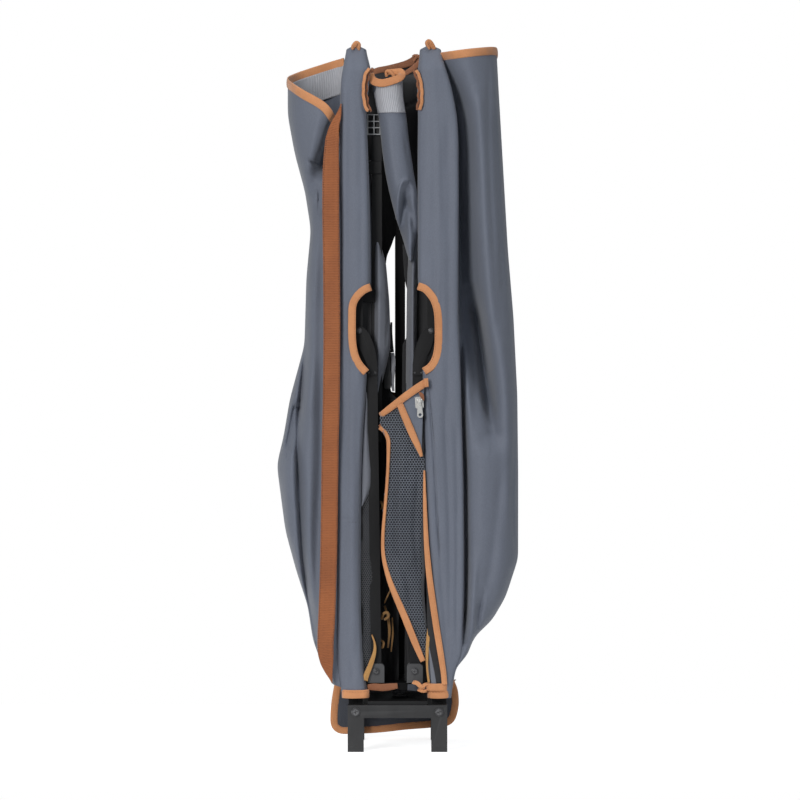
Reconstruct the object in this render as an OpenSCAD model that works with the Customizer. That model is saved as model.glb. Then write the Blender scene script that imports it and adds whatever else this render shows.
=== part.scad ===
// Folding fabric bag on a steel stand, shown folded and standing on its foot brackets.
// Two pairs of posts turn on the foot brackets, two pairs of braces hang from the posts,
// and a hub on a centre tube rises as the posts spread.
// Frame: +Z up, +X to the right, the front faces -Y, the legs stand on Z = 0.

/* [Stand] */
// Outside width of the square tube of the foot brackets
foot_tube = 25; // [22:1:26]
// Wall of the foot bracket tube
foot_wall = 1.8; // [1.2:0.2:2.4]
// Distance between the centres of the two legs of a bracket
leg_pitch = 130; // [126:1:134]
// Height of the foot brackets
foot_h = 73; // [70:1:76]
// Height of the crossbar of a foot bracket
cross_h = 20; // [18:1:25]
// Distance from the middle of the object to the centre of a foot bracket
foot_y = 107.5; // [107:0.5:109]

/* [Posts] */
// Outside width of the square posts
post_tube = 22; // [20:1:22]
// Distance from the middle of the object to the centre of a post
post_y = 82; // [81:0.5:82]
// Height of the top of the posts
post_top = 1068; // [1050:1:1072]
// Height of the pivot screws
pivot_z = 62.5; // [60:0.5:64]

/* [Braces] */
// Outside width of the square brace tubes
brace_tube = 16; // [16:1:17]
// Height of the rivets that join braces and posts
rivet_z = 655; // [645:1:660]
// Height of the lower brace pins
pin_z = 124; // [122:1:126]
// Distance from the middle of the object to the left lower brace pin
left_pin_x = 33; // [32:0.5:34]
// Distance from the middle of the object to the right lower brace pin
right_pin_x = 27; // [26:0.5:28]
// Angle, in degrees, that the right posts lean inwards in the folded stand
right_lean = 0.72; // [0.6:0.04:0.8]

/* [Centre tube] */
// Outside width of the centre tube
guide_tube_w = 16; // [14:1:16]
// Height of the top of the centre tube
guide_top = 826; // [800:2:840]

/* [Fabric] */
// Thickness of the side panels
panel_t = 4; // [3:0.5:5]
// Half of the depth of the side panels
panel_y = 123.5; // [123.5:0.5:124]
// Width of the edge binding
bind_w = 12; // [10:1:14]
// Width of the carry strap
strap_w = 26; // [22:1:28]

/* [Zip] */
// Length that the zip slider travels
zip_travel = 380; // [300:10:390]

/* [Hidden] */
$fn = 48;
leg_x = leg_pitch / 2;
foot_i = foot_tube - 2 * foot_wall;
post_i = post_tube - 3;
cross_z0 = foot_h - cross_h;
rivet_x = leg_x - 5;
plate_t = 3;
post_f = post_y + post_tube / 2;            // front face of the front posts, as a distance
brace_f = post_f + 0.4;                     // front face of the brace tubes
brace_y = brace_f - brace_tube / 2;
brace_top_z = 604;
function pin_at(s) = s < 0 ? left_pin_x : right_pin_x;
function brace_top_at(s) = s < 0 ? 39.5 : 32;
function brace_a(s) = atan((brace_top_at(s) - pin_at(s)) / (brace_top_z - pin_z));
function rivet_at(s) = s < 0 ? [-rivet_x, rivet_z] :
    [leg_x - (leg_x - rivet_x) * cos(right_lean) - (rivet_z - pivot_z) * sin(right_lean),
     pivot_z - (leg_x - rivet_x) * sin(right_lean) + (rivet_z - pivot_z) * cos(right_lean)];
guide_x = 4;
screw_r = 3;
hole_r = 3.3;
pin_hole_r = 4.6;                           // wide hole at the opened pivot
foot_face = foot_y + foot_tube / 2;
zip_top = [33.4, 552];
zip_end = [61.5, 124];
zip_a = atan((zip_end[0] - zip_top[0]) / (zip_top[1] - zip_end[1]));

// Outer edges of the fabric seen from the front, [x, z]
left_edge = [[-102, 107], [-116, 127], [-124, 147], [-132, 168], [-140, 222], [-158, 277], [-175, 339],
             [-181, 385], [-188.5, 442], [-178, 486], [-168, 545], [-145, 630], [-142, 735], [-135, 810],
             [-144, 870], [-160, 929], [-171, 988], [-171, 1036]];
right_edge = [[87, 127], [110, 147], [116, 168], [147, 199], [169, 236], [188.5, 296], [188.5, 433],
              [187, 551], [181, 673], [172, 779], [165, 899], [158, 1019], [154, 1095]];
left_sleeve_edge = [[-85, 83], [-92.5, 130], [-93, 560], [-88, 690], [-88, 1058], [-79, 1094], [-50, 1094],
                    [-42.5, 1058], [-49.5, 995], [-45, 884], [-43, 725], [-50.5, 583], [-50.5, 200], [-47.6, 83]];
right_sleeve_edge = [[81, 83], [86.6, 127], [100.5, 150], [103.5, 235], [97.5, 584], [94, 670], [94, 857],
                     [92, 971], [86.6, 1013], [66, 1090], [37, 1090], [28, 1057], [36, 995], [33.5, 870],
                     [33.5, 726], [40, 583], [40, 522], [43, 373], [46, 200], [48.5, 83]];
strap_line = [[-93, 990], [-100.6, 929], [-103, 870], [-101.4, 686], [-103.7, 492], [-107, 342], [-110, 236],
              [-113, 147], [-113, 107]];
function shifted(p, d) = [for (q = p) [q[0] + d, q[1]]];
function reversed(p) = [for (i = [len(p) - 1:-1:0]) p[i]];

steel = "#2c2c2e";
bracket_grey = "#4a4c4f";
slate = "#666d7a";
tan_binding = "#b8764a";
webbing = "#a5653f";
grey_band = "#9a9da3";
mesh_grey = "#3e444d";
black = "#1c1c1e";
silver = "#b8bac0";

// An outline in X and Z, given a depth from y0 to y1
module slab(p, y0, y1) {
    translate([0, y1, 0]) rotate([90, 0, 0]) linear_extrude(y1 - y0) polygon(p);
}
module box(x0, x1, y0, y1, z0, z1) {
    translate([x0, y0, z0]) cube([x1 - x0, y1 - y0, z1 - z0]);
}
// A cylinder along Y
module rod_y(x, z, r, y0, y1) {
    translate([x, y1, z]) rotate([90, 0, 0]) cylinder(r = r, h = y1 - y0);
}
module round_box(x0, x1, z0, z1, r, y0, y1) {
    box(x0 + r, x1 - r, y0, y1, z0, z1);
    box(x0, x1, y0, y1, z0 + r, z1 - r);
    for (x = [x0 + r, x1 - r], z = [z0 + r, z1 - r]) rod_y(x, z, r, y0, y1);
}
module both_y() {
    children();
    mirror([0, 1, 0]) children();
}

// ---- base ----
module foot(s) {
    y = s * foot_y;
    color(steel) difference() {
        union() {
            for (x = [-leg_x, leg_x]) box(x - foot_tube / 2, x + foot_tube / 2, y - foot_tube / 2, y + foot_tube / 2, 0, foot_h);
            box(-leg_x, leg_x, y - foot_tube / 2, y + foot_tube / 2, cross_z0, foot_h);
        }
        for (x = [-leg_x, leg_x]) box(x - foot_i / 2, x + foot_i / 2, y - foot_i / 2, y + foot_i / 2, -1, foot_h - foot_wall);
        box(-leg_x, leg_x, y - foot_i / 2, y + foot_i / 2, cross_z0 + foot_wall, foot_h - foot_wall);
        for (x = [-leg_x, leg_x]) rod_y(x, pivot_z, hole_r, y - foot_tube, y + foot_tube);
    }
}
module foot_front() foot(-1);
module foot_rear() foot(1);
module leg_plugs() {
    color(black) both_y() for (x = [-leg_x, leg_x])
        box(x - foot_i / 2 + 0.2, x + foot_i / 2 - 0.2, -foot_y - foot_i / 2 + 0.2, -foot_y + foot_i / 2 - 0.2, 0, 12);
}
module base_plate() {
    color(steel) difference() {
        box(-46, 46, -foot_face + 4, foot_face - 4, foot_h + 0.1, foot_h + 6);
        for (y = [-1, 1]) translate([guide_x, y * (guide_tube_w / 2 + 9), foot_h - 1]) cylinder(r = 2.3, h = 10);
    }
}
module guide_socket() {
    z = foot_h + 6.1;
    o = guide_tube_w / 2 + 3;
    i = guide_tube_w / 2 + 0.1;
    color(bracket_grey) difference() {
        union() {
            box(guide_x - o, guide_x + o, -o, o, z, z + 10);
            box(guide_x - o, guide_x + o, -o - 12, o + 12, z, z + 2.4);
        }
        box(guide_x - i, guide_x + i, -i, i, z + 2.4, z + 11);
        for (y = [-o - 6, o + 6]) translate([guide_x, y, z - 1]) cylinder(r = 2.4, h = 5);
        for (x = [-4, 4]) rod_y(guide_x + x, z + 6.5, 1.9, -o - 1, -i + 1);
    }
}
module socket_screws() {
    z = foot_h + 6.1;
    o = guide_tube_w / 2 + 3;
    color(silver) {
        for (y = [-o - 6, o + 6]) translate([guide_x, y, z + 2.4]) {
            cylinder(r = 4, h = 2);
            translate([0, 0, -5.5]) cylinder(r = 2.2, h = 5.6);
        }
        for (x = [-4, 4]) {
            rod_y(guide_x + x, z + 6.5, 3.2, -o - 1.8, -o);
            rod_y(guide_x + x, z + 6.5, 1.8, -o - 0.1, -guide_tube_w / 2);
        }
    }
}
module guide_tube() {
    z = foot_h + 8.6;
    h = guide_tube_w / 2;
    color(steel) difference() {
        box(guide_x - h, guide_x + h, -h, h, z, guide_top);
        box(guide_x - h + 1.4, guide_x + h - 1.4, -h + 1.4, h - 1.4, z - 1, guide_top + 1);
    }
}
module guide_cap() {
    h = guide_tube_w / 2;
    color(black) {
        box(guide_x - h, guide_x + h, -h, h, guide_top + 0.05, guide_top + 4);
        box(guide_x - h + 1.6, guide_x + h - 1.6, -h + 1.6, h - 1.6, guide_top - 14, guide_top + 0.1);
    }
}
module pivot_screws() {
    color(bracket_grey) both_y() for (x = [-leg_x, leg_x]) difference() {
        union() {
            rod_y(x, pivot_z, 6.8, -foot_face - 2.2, -foot_face);
            rod_y(x, pivot_z, 5.4, -foot_face - 3.4, -foot_face);
            rod_y(x, pivot_z, screw_r, -foot_face - 0.1, -post_y + post_tube / 2 + 5);
            rod_y(x, pivot_z, 5.8, -post_y + post_tube / 2 + 0.4, -post_y + post_tube / 2 + 4.6);
        }
        box(x - 3.4, x + 3.4, -foot_face - 4, -foot_face - 1.8, pivot_z - 0.6, pivot_z + 0.6);
        box(x - 0.6, x + 0.6, -foot_face - 4, -foot_face - 1.8, pivot_z - 3.4, pivot_z + 3.4);
    }
}
module pivot_spacers() {
    color(silver) both_y() for (x = [-leg_x, leg_x]) difference() {
        rod_y(x, pivot_z, 9, -foot_y + foot_tube / 2 + 0.1, -post_f - 0.4);
        rod_y(x, pivot_z, hole_r, -foot_y, -post_f + 2);
    }
}
module floor_tab() {
    color(black) box(-46, 46, foot_face + 0.1, foot_face + 3.4, 52, 101);
}

// ---- posts and their fabric ----
module post(sx, sy) {
    h = post_tube / 2;
    x = sx * leg_x;
    y = sy * post_y;
    color(steel) difference() {
        box(x - h, x + h, y - h, y + h, 47, post_top);
        box(x - h + 1.5, x + h - 1.5, y - h + 1.5, y + h - 1.5, 46, post_top + 1);
        rod_y(x, pivot_z, hole_r, y - h - 1, y + h + 1);
        rod_y(sx * rivet_x, rivet_z, hole_r, y - h - 1, y + h + 1);
    }
}
// The right posts lean inwards about their pivots
module lean(s) {
    if (s > 0) translate([leg_x, 0, pivot_z]) rotate([0, -right_lean, 0]) translate([-leg_x, 0, -pivot_z]) children();
    else children();
}
module left_post_front() post(-1, -1);
module left_post_rear() post(-1, 1);
module right_post_front() lean(1) post(1, -1);
module right_post_rear() lean(1) post(1, 1);
module post_plugs(sx) {
    h = post_tube / 2;
    x = sx * leg_x;
    color(black) both_y() {
        box(x - h, x + h, -post_y - h, -post_y + h, post_top + 0.05, post_top + 4);
        box(x - h + 1.7, x + h - 1.7, -post_y - h + 1.7, -post_y + h - 1.7, post_top - 16, post_top + 0.1);
        box(x - h + 1.7, x + h - 1.7, -post_y - h + 1.7, -post_y + h - 1.7, 47, 52);
    }
}
module left_post_plugs() post_plugs(-1);
module right_post_plugs() lean(1) post_plugs(1);
module spreader(sx, z) {
    l = post_y - post_tube / 2 - 0.05;
    x = sx * leg_x;
    color(steel) difference() {
        box(x - 9, x + 9, -l, l, z - 9, z + 9);
        box(x - 7.6, x + 7.6, -l - 1, l + 1, z - 7.6, z + 7.6);
    }
}
module left_spreader_top() spreader(-1, 1040);
module left_spreader_low() spreader(-1, 300);
module right_spreader_top() lean(1) spreader(1, 1040);
module right_spreader_low() lean(1) spreader(1, 300);
stay_x = -32;
stay_y = -60;
module left_stay_tube() {
    color(steel) difference() {
        box(stay_x - 8, stay_x + 8, stay_y - 8 + 0.1, stay_y + 8, 480, 958);
        box(stay_x - 6.8, stay_x + 6.8, stay_y - 6.8, stay_y + 6.8, 481.5, 959);
    }
}
module left_stay_ties() {
    color(steel) for (z = [708, 908])
        box(-leg_x - 10, stay_x + 8, -post_y + post_tube / 2 + 0.1, stay_y - 8, z - 10, z + 10);
}
module left_stay_cap() {
    x0 = -47.5;
    color(black) {
        difference() {
            box(x0, x0 + 22, stay_y - 11, stay_y + 11, 958.1, 991);
            for (i = [0:1], j = [0:2])
                box(x0 + 2.2 + i * 9.6, x0 + 10.2 + i * 9.6, stay_y - 12, stay_y - 5, 961.5 + j * 9.9, 969.5 + j * 9.9);
        }
        box(stay_x - 6.6, x0 + 22 - 0.2, stay_y - 6.6, stay_y + 6.6, 940, 958.2);
    }
}
// A sleeve covers the front and the outer side of its post. The round cut shows the rivet.
module sleeve(p, sx, cut_x) {
    color(slate) difference() {
        slab(p, -110, -62);
        if (sx < 0) box(-79, 60, -98, -50, 0, 1079);
        else box(-60, 79, -98, -50, 0, 1079);
        if (sx < 0) round_box(-cut_x, 0, 594, 721, 26, -112, -97);
        else round_box(0, cut_x, 594, 721, 26, -112, -97);
    }
}
module left_sleeve_front() sleeve(left_sleeve_edge, -1, 68.5);
module left_sleeve_rear() mirror([0, 1, 0]) sleeve(left_sleeve_edge, -1, 68.5);
module right_sleeve_front() sleeve(right_sleeve_edge, 1, 62.5);
module right_sleeve_rear() mirror([0, 1, 0]) sleeve(right_sleeve_edge, 1, 62.5);
module moon_bindings(sx, outer, inner) {
    color(tan_binding) both_y() intersection() {
        difference() {
            if (sx < 0) round_box(-outer, 0, 584, 731, 34, -112, -110.1);
            else round_box(0, outer, 584, 731, 34, -112, -110.1);
            if (sx < 0) round_box(-outer + 8.5, 10, 594, 721, 26, -113, -109);
            else round_box(-10, outer - 8.5, 594, 721, 26, -113, -109);
        }
        if (sx < 0) box(-100, -inner, -115, -105, 500, 800);
        else box(inner, 100, -115, -105, 500, 800);
    }
}
module left_moon_bindings() moon_bindings(-1, 77, 45);
module right_moon_bindings() moon_bindings(1, 71, 36.5);
// The side panels are deep open shells of cloth: a front wall, an outer wall and a rear wall.
module left_panel_front() {
    color(slate) slab(concat([[-84, 100]], left_edge, [[-116, 1007], [-99, 977], [-84, 975]]), -panel_y, -panel_y + panel_t);
}
module left_panel_side() {
    n = len(left_edge) - 2;
    inner = concat([for (i = [0:n]) [left_edge[i][0] + panel_t, left_edge[i][1]]], [[-171 + panel_t, 1033.8]]);
    color(slate) slab(concat(left_edge, reversed(inner)), -panel_y + panel_t + 0.1, panel_y - panel_t - 0.1);
}
module left_panel_rear() {
    color(slate) slab(concat([[-80, 110]], left_edge, [[-171, 1040], [-80, 1067]]), panel_y - panel_t, panel_y);
}
module right_panel_face(top) {
    n = len(right_edge) - 2;
    color(slate) slab(concat([[84, 112]], [for (i = [0:n]) right_edge[i]], [[154, top], [84, top - 15]]), -panel_y, -panel_y + panel_t);
}
module right_panel_front() right_panel_face(1095);
module right_panel_rear() mirror([0, 1, 0]) right_panel_face(1083);
module right_panel_side() {
    n = len(right_edge) - 2;
    outer = concat([[97, 135.7]], [for (i = [1:n]) right_edge[i]], [[154, 1082.9]]);
    inner = concat([[93, 135.7]], [for (i = [1:n]) [right_edge[i][0] - panel_t, right_edge[i][1]]], [[154 - panel_t, 1081.9]]);
    color(slate) slab(concat(outer, reversed(inner)), -panel_y + panel_t + 0.1, panel_y - panel_t - 0.1);
}
module left_rim_band() {
    color(grey_band) slab([[-166, 996], [-166, 1040], [-84, 1064], [-84, 1014]], panel_y - panel_t - 2.1, panel_y - panel_t - 0.1);
}
module left_rim_binding() {
    color(tan_binding) {
        slab([[-171, 1040.1], [-171, 1050], [-80, 1077], [-80, 1067.1]], panel_y - panel_t, panel_y);
        slab([[-171, 1036.1], [-171, 1046], [-116, 1018], [-96, 986], [-84, 984], [-84, 975.1], [-99, 977.1], [-116, 1007.1]],
             -panel_y, -panel_y + panel_t);
    }
}
module right_rim_binding() {
    color(tan_binding) for (q = [[-panel_y, 0], [panel_y - panel_t, -12]])
        slab([[84, 1080.1 + q[1]], [154, 1095.2 + q[1]], [154, 1103 + q[1]], [84, 1089 + q[1]]], q[0], q[0] + panel_t);
}
module left_strap() {
    color(webbing) slab(concat(shifted(strap_line, -strap_w / 2), reversed(shifted(strap_line, strap_w / 2))),
                        -panel_y - 4, -panel_y - 0.3);
}
module left_inner_fold() {
    color(slate) slab([[-46, 514], [-46, 900], [-26, 900], [-14, 792], [-18, 700], [-18, 561], [-22, 514]], -75.2, -71.2);
}
module left_pocket() {
    color(mesh_grey) slab([[-52, 140], [-52, 528], [-41, 528], [-41, 476], [-38, 468], [-38, 380], [-40, 140]], -66, -62);
}
module left_rear_cloth() {
    color(slate) {
        box(-53, -1, 62, 65, 800, 1060);
        box(-53, -1, 62, 65, 140, 555);
        box(-53, -46, 62, 65, 554, 801);
    }
}
module buckle() {
    color(black) {
        box(-17.5, -11.5, -43.9, -41.5, 588, 624);
        round_box(-20.5, -10, 562, 590, 3, -43.9, -39);
    }
}
module right_inner_fold() {
    color(slate) slab([[17, 569], [16, 700], [17, 834], [34, 860], [38, 700], [34, 540]], -62, -56);
}
module right_rear_cloth() {
    color(slate) {
        box(1, 40, 62, 65, 800, 1060);
        box(39, 52, 62, 65, 800, 1022);
        box(1, 52, 62, 65, 140, 555);
        box(46, 52, 62, 65, 554, 801);
    }
}
module front_fold() {
    color(slate) {
        slab([[-40, 1049], [6, 1049], [10, 992], [15, 958], [22.5, 915], [29, 870], [24, 810], [18, 771], [12, 774],
              [4, 812], [-8.5, 870], [-18, 915], [-23, 958], [-23, 991.8], [-37, 992]], -96, -88);
    }
}
module mesh_flap() {
    color(mesh_grey) slab([[35, 140], [50, 140], [47, 370], [48, 576], [-27, 522], [-27, 506], [-14, 480], [-16.5, 433],
                           [-24, 352], [-24, 316], [-18, 274], [-5.5, 236]], -112.4, -110.3);
}
module zip_tape() {
    l = norm(zip_end - zip_top);
    color(black) translate([zip_top[0], 0, zip_top[1]]) rotate([0, -zip_a, 0]) {
        box(-9, 9, -114.6, -112.7, -l, 10);
        box(-2.6, 2.6, -116.2, -114.5, -l + 6, 4);
        box(-4, 4, -116.6, -114.5, -l, -l + 5);
        box(-4, 4, -116.6, -114.5, 5, 9);
    }
}

// ---- braces ----
module brace_tubes(s) {
    h = brace_tube / 2;
    l = (brace_top_z - pin_z) / cos(brace_a(s));
    color(steel) both_y() translate([s * pin_at(s), -brace_y, pin_z]) rotate([0, s * brace_a(s), 0]) difference() {
        box(-h, h, -h, h, -12, l);
        box(-h + 1.3, h - 1.3, -h + 1.3, h - 1.3, -13, l - 1.3);
        rod_y(0, 0, pin_hole_r, -h - 1, h + 1);
    }
}
module left_brace_tubes() brace_tubes(-1);
module right_brace_tubes() brace_tubes(1);
// A hooked plate, set out from the centre of its rivet
plate_edge = [[-4.5, -3], [-3.6, -15], [1.2, -30], [8, -43], [12.6, -55], [12.6, -69.5], [29.2, -69.5], [29, -53], [26.8, -36], [22.4, -19],
              [15.8, -4.4], [8.6, 4.2], [0, 6]];
module brace_plates(s) {
    r = rivet_at(s);
    color(steel) both_y() difference() {
        union() {
            slab([for (q = plate_edge) [r[0] - s * q[0], r[1] + q[1]]], -brace_f - plate_t, -brace_f);
            rod_y(r[0], r[1], 7.5, -brace_f - plate_t, -brace_f);
        }
        rod_y(r[0], r[1], screw_r + 0.02, -brace_f - 5, -brace_f + 1);
    }
}
module left_brace_plates() brace_plates(-1);
module right_brace_plates() brace_plates(1);
module rivets(s) {
    r = rivet_at(s);
    color(bracket_grey) both_y() {
        rod_y(r[0], r[1], screw_r, -brace_f - plate_t, -post_y + post_tube / 2 + 0.5);
        rod_y(r[0], r[1], 4.6, -brace_f - plate_t - 1.4, -brace_f - plate_t);
        rod_y(r[0], r[1], 3.2, -brace_f - plate_t - 2.6, -brace_f - plate_t);
        rod_y(r[0], r[1], 5, -post_y + post_tube / 2 + 0.4, -post_y + post_tube / 2 + 2.2);
        for (t = [15.4, 25.8]) rod_y(r[0] - s * t, r[1] - 65.5, 1.5, -brace_f - plate_t - 0.8, -brace_f - plate_t - 0.02);
    }
}
module left_rivets() rivets(-1);
module right_rivets() rivets(1);

// ---- hub ----
module hub_frame() {
    i = guide_tube_w / 2 + 0.5;
    color(steel) difference() {
        union() {
            box(guide_x - 15, guide_x + 15, -15, 15, 92, 112);
            box(guide_x - 7, guide_x + 7, -80, 80, 94, 105.9);
            for (s = [-1, 1]) box(-46, 46, s * brace_y - 7, s * brace_y + 7, 94, 105.9);
        }
        box(guide_x - i, guide_x + i, -i, i, 90, 120);
    }
}
module hub_brackets() {
    w = 12.5;
    f = brace_f + 2.9;
    b = brace_f - brace_tube - 2.9;
    color(bracket_grey) both_y() for (s = [-1, 1]) difference() {
        union() {
            for (y = [-f, -b - 2.3]) {
                box(s * pin_at(s) - w, s * pin_at(s) + w, y, y + 2.3, 106, 124);
                box(s * pin_at(s) - w + 6, s * pin_at(s) + w - 6, y, y + 2.3, 120, 136);
                box(s * pin_at(s) - w, s * pin_at(s) + w, y, y + 2.3, 120, 130);
                for (t = [-1, 1]) rod_y(s * pin_at(s) + t * (w - 6), 130, 6, y, y + 2.3);
            }
            box(s * pin_at(s) - w, s * pin_at(s) + w, -f, -b, 106, 108.2);
        }
        rod_y(s * pin_at(s), pin_z, screw_r + 0.02, -f - 1, -b + 1);
    }
}
module hub_screws() {
    f = brace_f + 2.9;
    b = brace_f - brace_tube - 2.9;
    color(silver) both_y() for (s = [-1, 1]) difference() {
        union() {
            rod_y(s * pin_at(s), pin_z, 5.4, -f - 1.6, -f);
            rod_y(s * pin_at(s), pin_z, 4.2, -f - 2.6, -f);
            rod_y(s * pin_at(s), pin_z, screw_r, -f, -b + 3);
            rod_y(s * pin_at(s), pin_z, 5, -b + 0.1, -b + 3);
        }
        box(s * pin_at(s) - 2.8, s * pin_at(s) + 2.8, -f - 3, -f - 1.2, pin_z - 0.5, pin_z + 0.5);
        box(s * pin_at(s) - 0.5, s * pin_at(s) + 0.5, -f - 3, -f - 1.2, pin_z - 2.8, pin_z + 2.8);
    }
}

// ---- zip ----
slider_z = -8;
module zip_slider() {
    color(silver) translate([zip_top[0], 0, zip_top[1]]) rotate([0, -zip_a, 0]) translate([0, 0, slider_z]) {
        round_box(-6.5, 6.5, -9, 9, 3, -118.6, -116.6);
        for (x = [-6.5, 3.6]) box(x, x + 2.9, -117, -115, -7, 7);
        for (x = [-4.6, 3]) box(x, x + 1.6, -122.4, -118.5, 1.2, 5.2);
        translate([-4.6, -121.3, 3.2]) rotate([0, 90, 0]) cylinder(r = 0.9, h = 9.2);
    }
}
module zip_pull() {
    color(silver) translate([zip_top[0], 0, zip_top[1]]) rotate([0, -zip_a, 0]) translate([0, 0, slider_z]) difference() {
        union() {
            translate([-2.6, -121.3, 3.2]) rotate([0, 90, 0]) cylinder(r = 2.3, h = 5.2);
            box(-2.6, 2.6, -122.3, -120.5, -6, 2);
            slab([[-2.6, -3], [-3.4, -6], [-4.7, -19], [4.7, -19], [3.4, -6], [2.6, -3]], -122.3, -120.5);
            rod_y(0, -19, 4.7, -122.3, -120.5);
        }
        translate([-5, -121.3, 3.2]) rotate([0, 90, 0]) cylinder(r = 1.25, h = 10);
        rod_y(0, -18.8, 2.4, -124, -119);
    }
}

// ---- floor panel ----
floor_edge = [[-96, 103], [-103, 96], [-103, 26], [-95, 18], [84, 29], [94, 39], [94, 86], [88, 103]];
floor_inner = [[-92, 103], [-92, 32], [-88, 29], [80, 39.5], [83, 43], [83, 86], [80, 103]];
module floor_panel() {
    color("#4d535f") slab(floor_inner, panel_y + 0.7, panel_y + 3.4);
}
module floor_binding() {
    color(tan_binding) difference() {
        slab(floor_edge, panel_y + 0.5, panel_y + 4);
        slab(concat([[-92, 104]], [for (i = [0:len(floor_inner) - 1]) if (i > 0 && i < len(floor_inner) - 1) floor_inner[i]], [[80, 104]]),
             panel_y, panel_y + 5);
    }
}

foot_front();
foot_rear();
leg_plugs();
base_plate();
guide_socket();
socket_screws();
guide_tube();
guide_cap();
pivot_screws();
pivot_spacers();
floor_tab();
left_post_front();
left_post_rear();
left_post_plugs();
left_spreader_top();
left_spreader_low();
left_stay_tube();
left_stay_ties();
left_stay_cap();
left_sleeve_front();
left_sleeve_rear();
left_panel_front();
left_panel_side();
left_panel_rear();
left_rim_band();
left_rim_binding();
left_moon_bindings();
left_strap();
left_inner_fold();
left_pocket();
left_rear_cloth();
buckle();
right_post_front();
right_post_rear();
right_post_plugs();
right_spreader_top();
right_spreader_low();
right_sleeve_front();
right_sleeve_rear();
right_panel_front();
right_panel_side();
right_panel_rear();
right_rim_binding();
right_moon_bindings();
right_inner_fold();
right_rear_cloth();
front_fold();
mesh_flap();
zip_tape();
left_brace_tubes();
left_brace_plates();
left_rivets();
right_brace_tubes();
right_brace_plates();
right_rivets();
hub_frame();
hub_brackets();
hub_screws();
zip_slider();
zip_pull();
floor_panel();
floor_binding();
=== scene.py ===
import math

import bmesh
import bpy
import numpy as np
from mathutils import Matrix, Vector, noise


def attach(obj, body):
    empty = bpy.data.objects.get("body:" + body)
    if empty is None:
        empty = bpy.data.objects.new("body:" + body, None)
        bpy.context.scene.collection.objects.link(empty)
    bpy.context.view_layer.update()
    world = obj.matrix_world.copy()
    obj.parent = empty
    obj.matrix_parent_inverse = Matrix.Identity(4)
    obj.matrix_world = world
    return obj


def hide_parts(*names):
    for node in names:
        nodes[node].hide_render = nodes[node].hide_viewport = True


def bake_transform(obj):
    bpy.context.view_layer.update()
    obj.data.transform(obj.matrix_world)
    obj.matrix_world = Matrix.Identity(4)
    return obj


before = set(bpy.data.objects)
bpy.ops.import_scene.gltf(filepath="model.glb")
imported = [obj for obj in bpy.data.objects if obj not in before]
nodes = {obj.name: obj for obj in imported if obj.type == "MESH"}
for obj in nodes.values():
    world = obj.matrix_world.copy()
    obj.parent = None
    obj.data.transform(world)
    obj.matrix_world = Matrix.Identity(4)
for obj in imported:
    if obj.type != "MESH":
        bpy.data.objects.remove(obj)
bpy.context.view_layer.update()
rng = np.random.default_rng(7)

# ------------------------------------------------------------------ helpers
U = 0.00156  # step of the drawing grid that the fabric outlines are set out on, in metres


def G(c, r):
    """A grid column and row as x and z in metres; row 749.5 is the standing surface and column 397.5 the middle."""
    return ((c - 397.5) * U, (749.5 - r) * U)


def GL(*pairs):
    return np.array([G(c, r) for c, r in pairs])


def smooth_curve(pts, n, closed=False):
    """Catmull-Rom through pts, resampled evenly to n points."""
    p = np.asarray(pts, float)
    if closed:
        p = np.vstack([p[-1], p, p[0], p[1]])
    else:
        p = np.vstack([2 * p[0] - p[1], p, 2 * p[-1] - p[-2]])
    out = []
    for i in range(1, len(p) - 2):
        for t in np.linspace(0, 1, 24, endpoint=False):
            a, b, c, d = p[i - 1], p[i], p[i + 1], p[i + 2]
            out.append(0.5 * (2 * b + (c - a) * t + (2 * a - 5 * b + 4 * c - d) * t * t + (3 * b - a - 3 * c + d) * t**3))
    out.append(p[-2])
    out = np.array(out)
    s = np.r_[0, np.cumsum(np.linalg.norm(np.diff(out, axis=0), axis=1))]
    q = np.linspace(0, s[-1], n)
    return np.stack([np.interp(q, s, out[:, k]) for k in range(out.shape[1])], 1)


def line(pts, n):
    p = np.asarray(pts, float)
    s = np.r_[0, np.cumsum(np.linalg.norm(np.diff(p, axis=0), axis=1))]
    q = np.linspace(0, s[-1], n)
    return np.stack([np.interp(q, s, p[:, k]) for k in range(p.shape[1])], 1)


class Edge:
    """x as a soft function of z, from a few (column, row) points."""

    def __init__(self, *pairs, soft=0.008):
        p = GL(*pairs)
        p = p[np.argsort(p[:, 1])]
        z = np.linspace(p[0, 1] - 0.05, p[-1, 1] + 0.05, 900)
        x = np.interp(z, p[:, 1], p[:, 0])
        step = z[1] - z[0]
        k = max(1, int(3 * soft / step))
        w = np.exp(-0.5 * (np.arange(-k, k + 1) * step / soft) ** 2)
        w /= w.sum()
        xp = np.r_[np.full(k, x[0]), x, np.full(k, x[-1])]
        self.z, self.x = z, np.convolve(xp, w, "valid")

    def __call__(self, z):
        return np.interp(z, self.z, self.x)


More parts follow.
